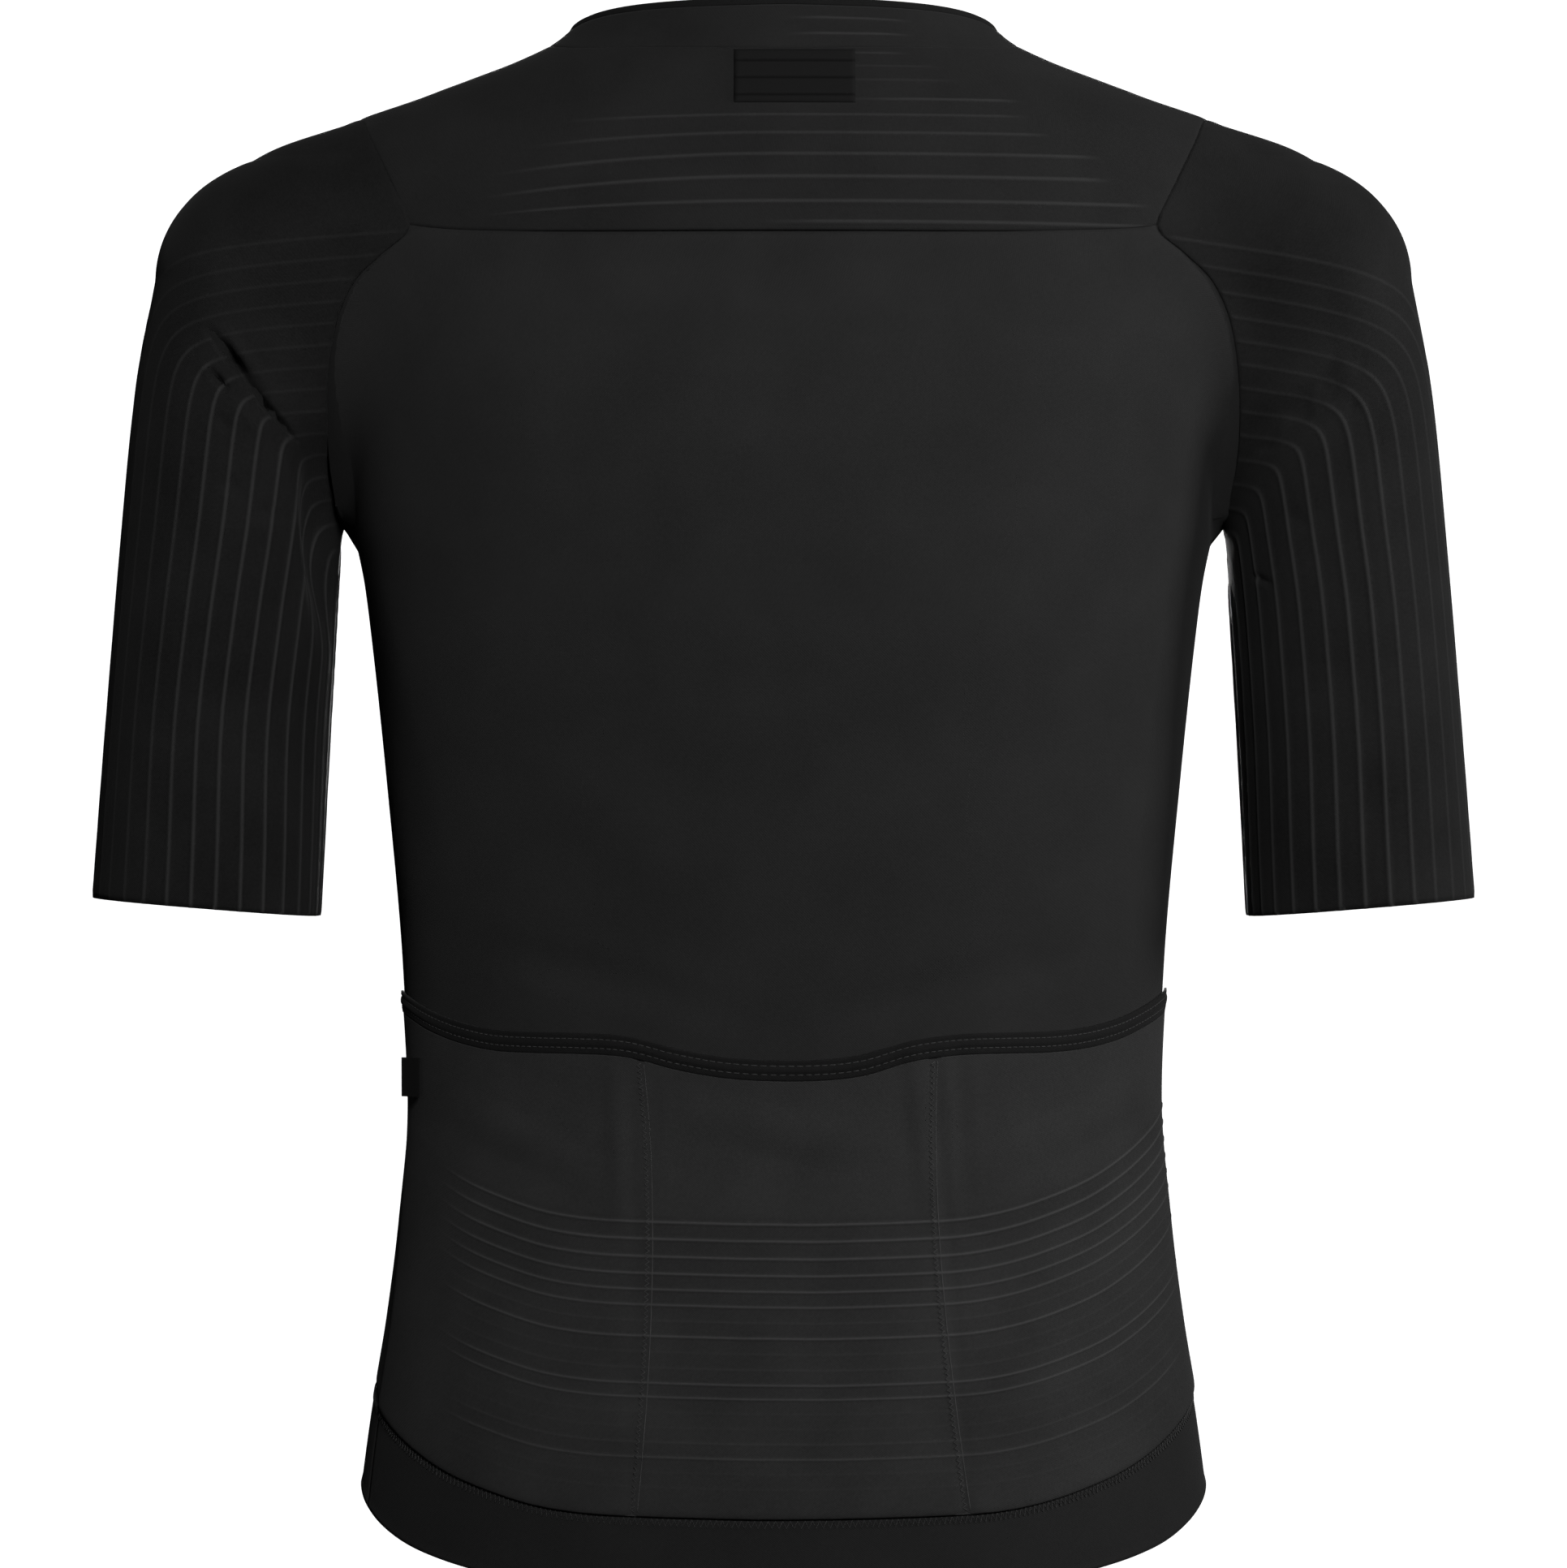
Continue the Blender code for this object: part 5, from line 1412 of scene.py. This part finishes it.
def build_tapes():
    inner, outer = [join_lines(*centre_lines(offset)) for offset in (0.0, TAPE_WIDTH)]
    for side in SIDES:
        tape = Shell(np.stack([inner, outer], axis=1) * FLIP[side], "tape")
        piece = add_cloth("tape_cloth_" + side, tape, knit("tape_weave"))
        declare("zip_tape_" + side)


def build_teeth():
    """A closed coil: short rounded bars from each side that cross the middle in turn."""
    middle = join_lines(*centre_lines(CENTRE_OFFSET))
    path = spaced(middle, int(lengths_along(middle)[-1] / TOOTH_PITCH))
    below, above = TEETH_LEFT_OUT
    path = path[below:-above] * np.array([0.0, 1.0, 1.0])
    points, quads = [], []
    for index, (place, out, up) in enumerate(zip(path, outward(path), unit(np.gradient(path, axis=0)))):
        sign = 1 if index % 2 else -1
        ids = len(points) + np.arange(len(TOOTH_BAR) * len(TOOTH_RING)).reshape(len(TOOTH_BAR), -1)
        quads += [*quads_of(looped(ids)), ids[0, [0, 1, 3, 4]], ids[-1, [0, 1, 3, 4]]]
        for x, height in TOOTH_BAR:
            along_bar = place + np.array([sign * x, 0.0, 0.0])
            for step, rise in TOOTH_RING:
                points.append(along_bar + step * TOOTH_HALF_WIDTH * up + rise * height * out)
    finish, _, shader = shader_nodes("coil", 0.45)
    shader.inputs["Base Color"].default_value = (0.012, 0.012, 0.013, 1)
    add_piece(mesh_of("zip_teeth", points, quads), finish)


def build_hem_piece(part, seam, edge):
    name = "hem_cloth_" + part
    steps = np.linspace(0, 1, BAND_STEPS + 1)[:, None]
    ends = []
    for low, high in ((edge[0], seam[0]), (edge[-1], seam[-1])):
        line = settle(low + steps * (high - low))
        line[0], line[-1] = low, high
        ends.append(line)
    band = Shell(patch(edge, seam, *ends), "hem")
    band.relief += HEM_SWELL * bump(band.from_edge("bottom") / HEM_SWELL_REACH) - HEM_SINK
    seam_groove(band, "hem", "top")
    piece = add_cloth(name, band, knit("hem_knit"))
    row = BAND_STEPS * HEM_ZIGZAG_PLACE
    columns = END_MARGIN, len(seam) - 1 - END_MARGIN
    trim = add_threads(name + "_stitches", [zigzag(band, (row, row), columns, *HEM_ZIGZAG)])
    declare("hem_band_" + part)


def build_hem(back_seam, front_seams):
    edge = edge_line(HEM_AT["edge"], back_turns(EDGE_HEIGHT))
    build_hem_piece("back", back_seam, edge)
    for side, seam in front_seams.items():
        sign = FLIP[side][0]
        first = sign * side_turn(EDGE_HEIGHT[side], side)
        last = sign * front_edge_turn(FRONT_HEIGHTS["edge"], TAPE_WIDTH)
        turns = wrap(seam)[:, 0]
        share = (turns - turns[0]) / (turns[-1] - turns[0])
        edge = edge_line(HEM_AT["edge"], first + share * (last - first))
        edge[-1] = centre_lines(TAPE_WIDTH)[0][0] * FLIP[side]
        build_hem_piece("front_" + side, seam, edge)


def collar_ribs(collar):
    """Two ribs that show on the right of the collar's back."""
    x, y = collar.points[..., 0], collar.points[..., 1]
    rib = 1 + (collar.up - COLLAR_RIB_FOOT) / COLLAR_RIB_PITCH
    nearest = np.round(rib)
    shown = 1.0 * ((nearest == 1) | (nearest == 2)) * (y > 0)
    (left, left_fade), (right, right_fade) = COLLAR_FADES
    return rib, shown * smooth((left - x) / left_fade) * smooth((x - right) / right_fade)


def collar_grids():
    """The grids of the collar and of the binding on its top edge."""
    end = wrap(centre_lines(TAPE_WIDTH)[1][-1])[0]
    front = front_turns(90.0, end)
    turns = np.concatenate([-front[::-1], neck_back_turns()[1:-1], front])
    _, _, collar_edge, binding_edge = centre_lines(TAPE_WIDTH)
    seam = edge_line(NECK_AT["seam"], turns)
    top = edge_line(NECK_AT["top"], turns)
    rise = np.linalg.norm(top - seam, axis=1)[:, None]
    below = settle(top + (seam - top) * BINDING_WIDTH / rise)
    for line, last in ((seam, collar_edge[0]), (below, collar_edge[-1]), (top, binding_edge[-1])):
        line[0], line[-1] = mirrored(last), last
    collar = patch(seam, below, mirrored(collar_edge), collar_edge)
    return collar, patch(below, top, mirrored(binding_edge), binding_edge)


def build_collar():
    collar_grid, binding_grid = collar_grids()
    collar = Shell(collar_grid, "collar")
    raise_ribs(collar, *collar_ribs(collar))
    seam_groove(collar, "neck", "bottom")
    seam_groove(collar, "collar", "top")
    piece = add_cloth("collar_cloth", collar, knit("collar_knit"))
    declare("collar")
    binding = Shell(binding_grid, "collar")
    height = binding.up / binding.up[-1:]
    binding.relief += BINDING_SWELL * bump((height - 0.5) / BINDING_SWELL_REACH) - BINDING_SINK
    piece = add_cloth("collar_binding_cloth", binding, knit("band_knit"))
    declare("collar_binding")


# --- Sleeves -----------------------------------------------------------------------------


def oval_share_table(samples=721):
    """The share of the way round half an arm's section, from its outside to its inside."""
    turn = np.linspace(0, math.pi, samples)
    deep, across = oval(turn, ARM_ROUNDNESS)
    length = lengths_along(np.stack([across * OVAL_HALF_WIDTH, deep * OVAL_HALF_DEPTH], axis=-1))
    return turn, length / length[-1]


OVAL_TURN, OVAL_SHARE = oval_share_table()


def share_round(x_share, y_share):
    turn, _ = oval_turn(np.abs(y_share), x_share, ARM_ROUNDNESS)
    return np.interp(turn, OVAL_TURN, OVAL_SHARE)


def sleeve_ribs(points, side):
    """Which rib a point of the left sleeve is on, and how clearly it shows.

    Ribs run level from the armhole, turn down at the mitre and run on to the cuff.
    """
    x, y, z = np.moveaxis(points, -1, 0)
    ribs = LEVEL_RIBS[side]
    level = 1 + (ribs.top - z - ribs.slope * (x - LEVEL_FROM)) / ribs.pitch
    x_share = (x - ARM_AT["centre_x"](z)) / ARM_AT["half_width"](z)
    y_share = (y - ARM_AT["centre_y"](z)) / ARM_AT["half_depth"](z)
    upright = RIBS_AT[side](z) * share_round(x_share, y_share) + RIB_PHASE[side]
    turn = TURN_SHARP + TURN_SOFT * (1 - smooth(level / TURN_RIBS))
    rib = (level + upright - np.sqrt((level - upright) ** 2 + turn**2)) / 2
    across = smooth(0.5 + (upright - level) / 2)
    down = 1 - DOWN_FADE * smooth((x_share - DOWN_FADE_FROM) / DOWN_FADE_REACH)
    start, reach = TOP_RIB_FADE
    shown = (ribs.strength * across + down * (1 - across)) * smooth((rib - start) / reach)
    return rib, shown


@functools.lru_cache
def sleeve_form():
    """The left sleeve's grid. Its last column is its first."""
    grid = relaxed(sleeve_grid()[:, :-1], SLEEVE_ROUNDS, SLEEVE_PASSES, tube=True)
    return looped(grid)


def build_sleeve(side):
    sleeve = Shell(sleeve_form(), "sleeve", tube=True)
    rib, shown = sleeve_ribs(sleeve.points, side)
    raise_ribs(sleeve, rib, shown * np.clip(sleeve.from_edge("top") / ARMHOLE_RIB_END, 0, 1))
    sleeve.folds += fold_relief(sleeve.points, SLEEVE_FOLDS[side])
    seam_groove(sleeve, "sleeve", "top")
    sleeve.relief -= CUFF_THINNING * bump(sleeve.from_edge("bottom") / CUFF_THINNING_REACH)
    sleeve.points = sleeve.points * FLIP[side]
    sleeve.facing = sleeve.facing * FLIP[side]
    piece = add_cloth("sleeve_cloth_" + side, sleeve, knit("sleeve_knit"))
    declare("sleeve_" + side)


# --- Small pieces ------------------------------------------------------------------------


def build_patch():
    """A plain bonded patch below the collar, with three grooves across it."""
    u, v = np.meshgrid(np.linspace(0, 1, PATCH_COLUMNS), np.linspace(0, 1, PATCH_ROWS))
    x = PATCH_CENTRE + (u - 0.5) * PATCH_WIDTH
    z = PATCH_LOW + v * (PATCH_HIGH - PATCH_LOW)
    base = np.stack([x, np.full(x.shape, PATCH_START), z], axis=-1)
    for _ in range(3):
        slope = gradient(form_field, base)[..., 1]
        base[..., 1] -= at_points(form_field, base) / slope
    facing = outward(base)
    rim = np.minimum(np.minimum(u, 1 - u) * PATCH_WIDTH, np.minimum(v, 1 - v) * PATCH_RIM_HEIGHT)
    grooves = ridge_wave((v - PATCH_FIRST) / PATCH_STEP, PATCH_GROOVE_WIDTH)
    lift = PATCH_RISE * smooth(rim / PATCH_RIM) + PATCH_LIFT
    lift -= PATCH_GROOVE * grooves * smooth(rim / PATCH_GROOVE_RIM)
    faces = np.stack([base + lift[..., None] * facing, base - PATCH_LIFT * facing])
    ids = np.arange(faces.size // 3).reshape(faces.shape[:3])
    sheets = ids[0], ids[1], ids[:, 0], ids[:, -1], ids[:, :, 0], ids[:, :, -1]
    quads = np.concatenate([quads_of(sheet) for sheet in sheets])
    add_piece(mesh_of("neck_patch", faces.reshape(-1, 3), quads), patch_painted_groove_shade())


def finish_hard_nodes():
    coating, tree, shader = shader_nodes("black_coating", 0.35)
    shader.inputs["Metallic"].default_value = 0.7
    wear = add(tree, "ShaderNodeTexNoise", Scale=700.0, Detail=3.0).outputs["Fac"]
    colour_between(tree, shader, wear, (0.012, 0.012, 0.013), (0.045, 0.045, 0.048), 0.35)
    finishes = {"zip_slider": coating, "zip_pull": coating, "side_tab": knit("tab_weave")}
    for node, finish in finishes.items():
        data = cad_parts[node].data
        data.materials.clear()
        data.materials.append(finish)


# --- Stage, light and camera -------------------------------------------------------------


def flat_finish(name, tone, glow=0.0):
    finish = bpy.data.materials.new(name)
    finish.use_nodes = True
    shader = finish.node_tree.nodes["Principled BSDF"]
    shader.inputs["Base Color"].default_value = (*grey(tone), 1)
    shader.inputs["Roughness"].default_value = 0.9
    shader.inputs["Emission Color"].default_value = (1, 1, 1, 1)
    shader.inputs["Emission Strength"].default_value = glow
    return finish


def place_in_scene(name, data, place, turn):
    thing = bpy.data.objects.new(name, data)
    thing.location = place
    thing.rotation_euler = turn
    bpy.context.scene.collection.objects.link(thing)
    return thing


def add_plane(name, size, place, turn, finish):
    mesh = bpy.data.meshes.new(name)
    half = size / 2
    corners = [(-half, -half, 0), (half, -half, 0), (half, half, 0), (-half, half, 0)]
    mesh.from_pydata(corners, [], [(0, 1, 2, 3)])
    mesh.materials.append(finish)
    sheet = place_in_scene(name, mesh, place, turn)
    sheet.visible_diffuse = False
    sheet.visible_glossy = False


def add_light(name, place, target, size, power):
    light = bpy.data.lights.new(name, "AREA")
    light.shape = "SQUARE"
    light.size = size
    light.energy = power
    aim = Vector(target) - Vector(place)
    place_in_scene(name, light, place, aim.to_track_quat("-Z", "Y").to_euler())


def set_stage():
    scene = bpy.context.scene
    scene.view_settings.view_transform = "Standard"
    world = bpy.data.worlds.new("studio")
    scene.world = world
    world.use_nodes = True
    sky = world.node_tree.nodes["Background"]
    sky.inputs["Color"].default_value = (1, 1, 1, 1)
    sky.inputs["Strength"].default_value = WORLD_LIGHT
    floor = flat_finish("pale_floor", FLOOR_TONE)
    wall = flat_finish("pale_wall", WALL_TONE, WALL_GLOW)
    add_plane("floor", FLOOR_SIZE, (0, 0, FLOOR_HEIGHT), (0, 0, 0), floor)
    add_plane("backdrop", WALL_SIZE, (0, WALL_PLACE, 0), (math.pi / 2, 0, 0), wall)
    for light in LIGHTS:
        add_light(*light)
    lens = bpy.data.cameras.new("camera")
    lens.lens = CAMERA_LENS
    lens.sensor_width = CAMERA_SENSOR
    place = 0, CAMERA_AWAY, CAMERA_HEIGHT
    scene.camera = place_in_scene("camera", lens, place, (math.pi / 2, 0, math.pi))


def main():
    lower, band, upper, back_seam = back_grids()
    build_back(np.concatenate([lower[:-1], band[:-1], upper]))
    build_pockets(lower)
    build_mouth_band(band)
    build_yoke()
    front_seams = {side: build_front(side) for side in SIDES}
    build_tapes()
    build_teeth()
    build_hem(back_seam, front_seams)
    build_collar()
    for side in SIDES:
        build_sleeve(side)
    build_patch()
    finish_hard_nodes()
    set_stage()


main()
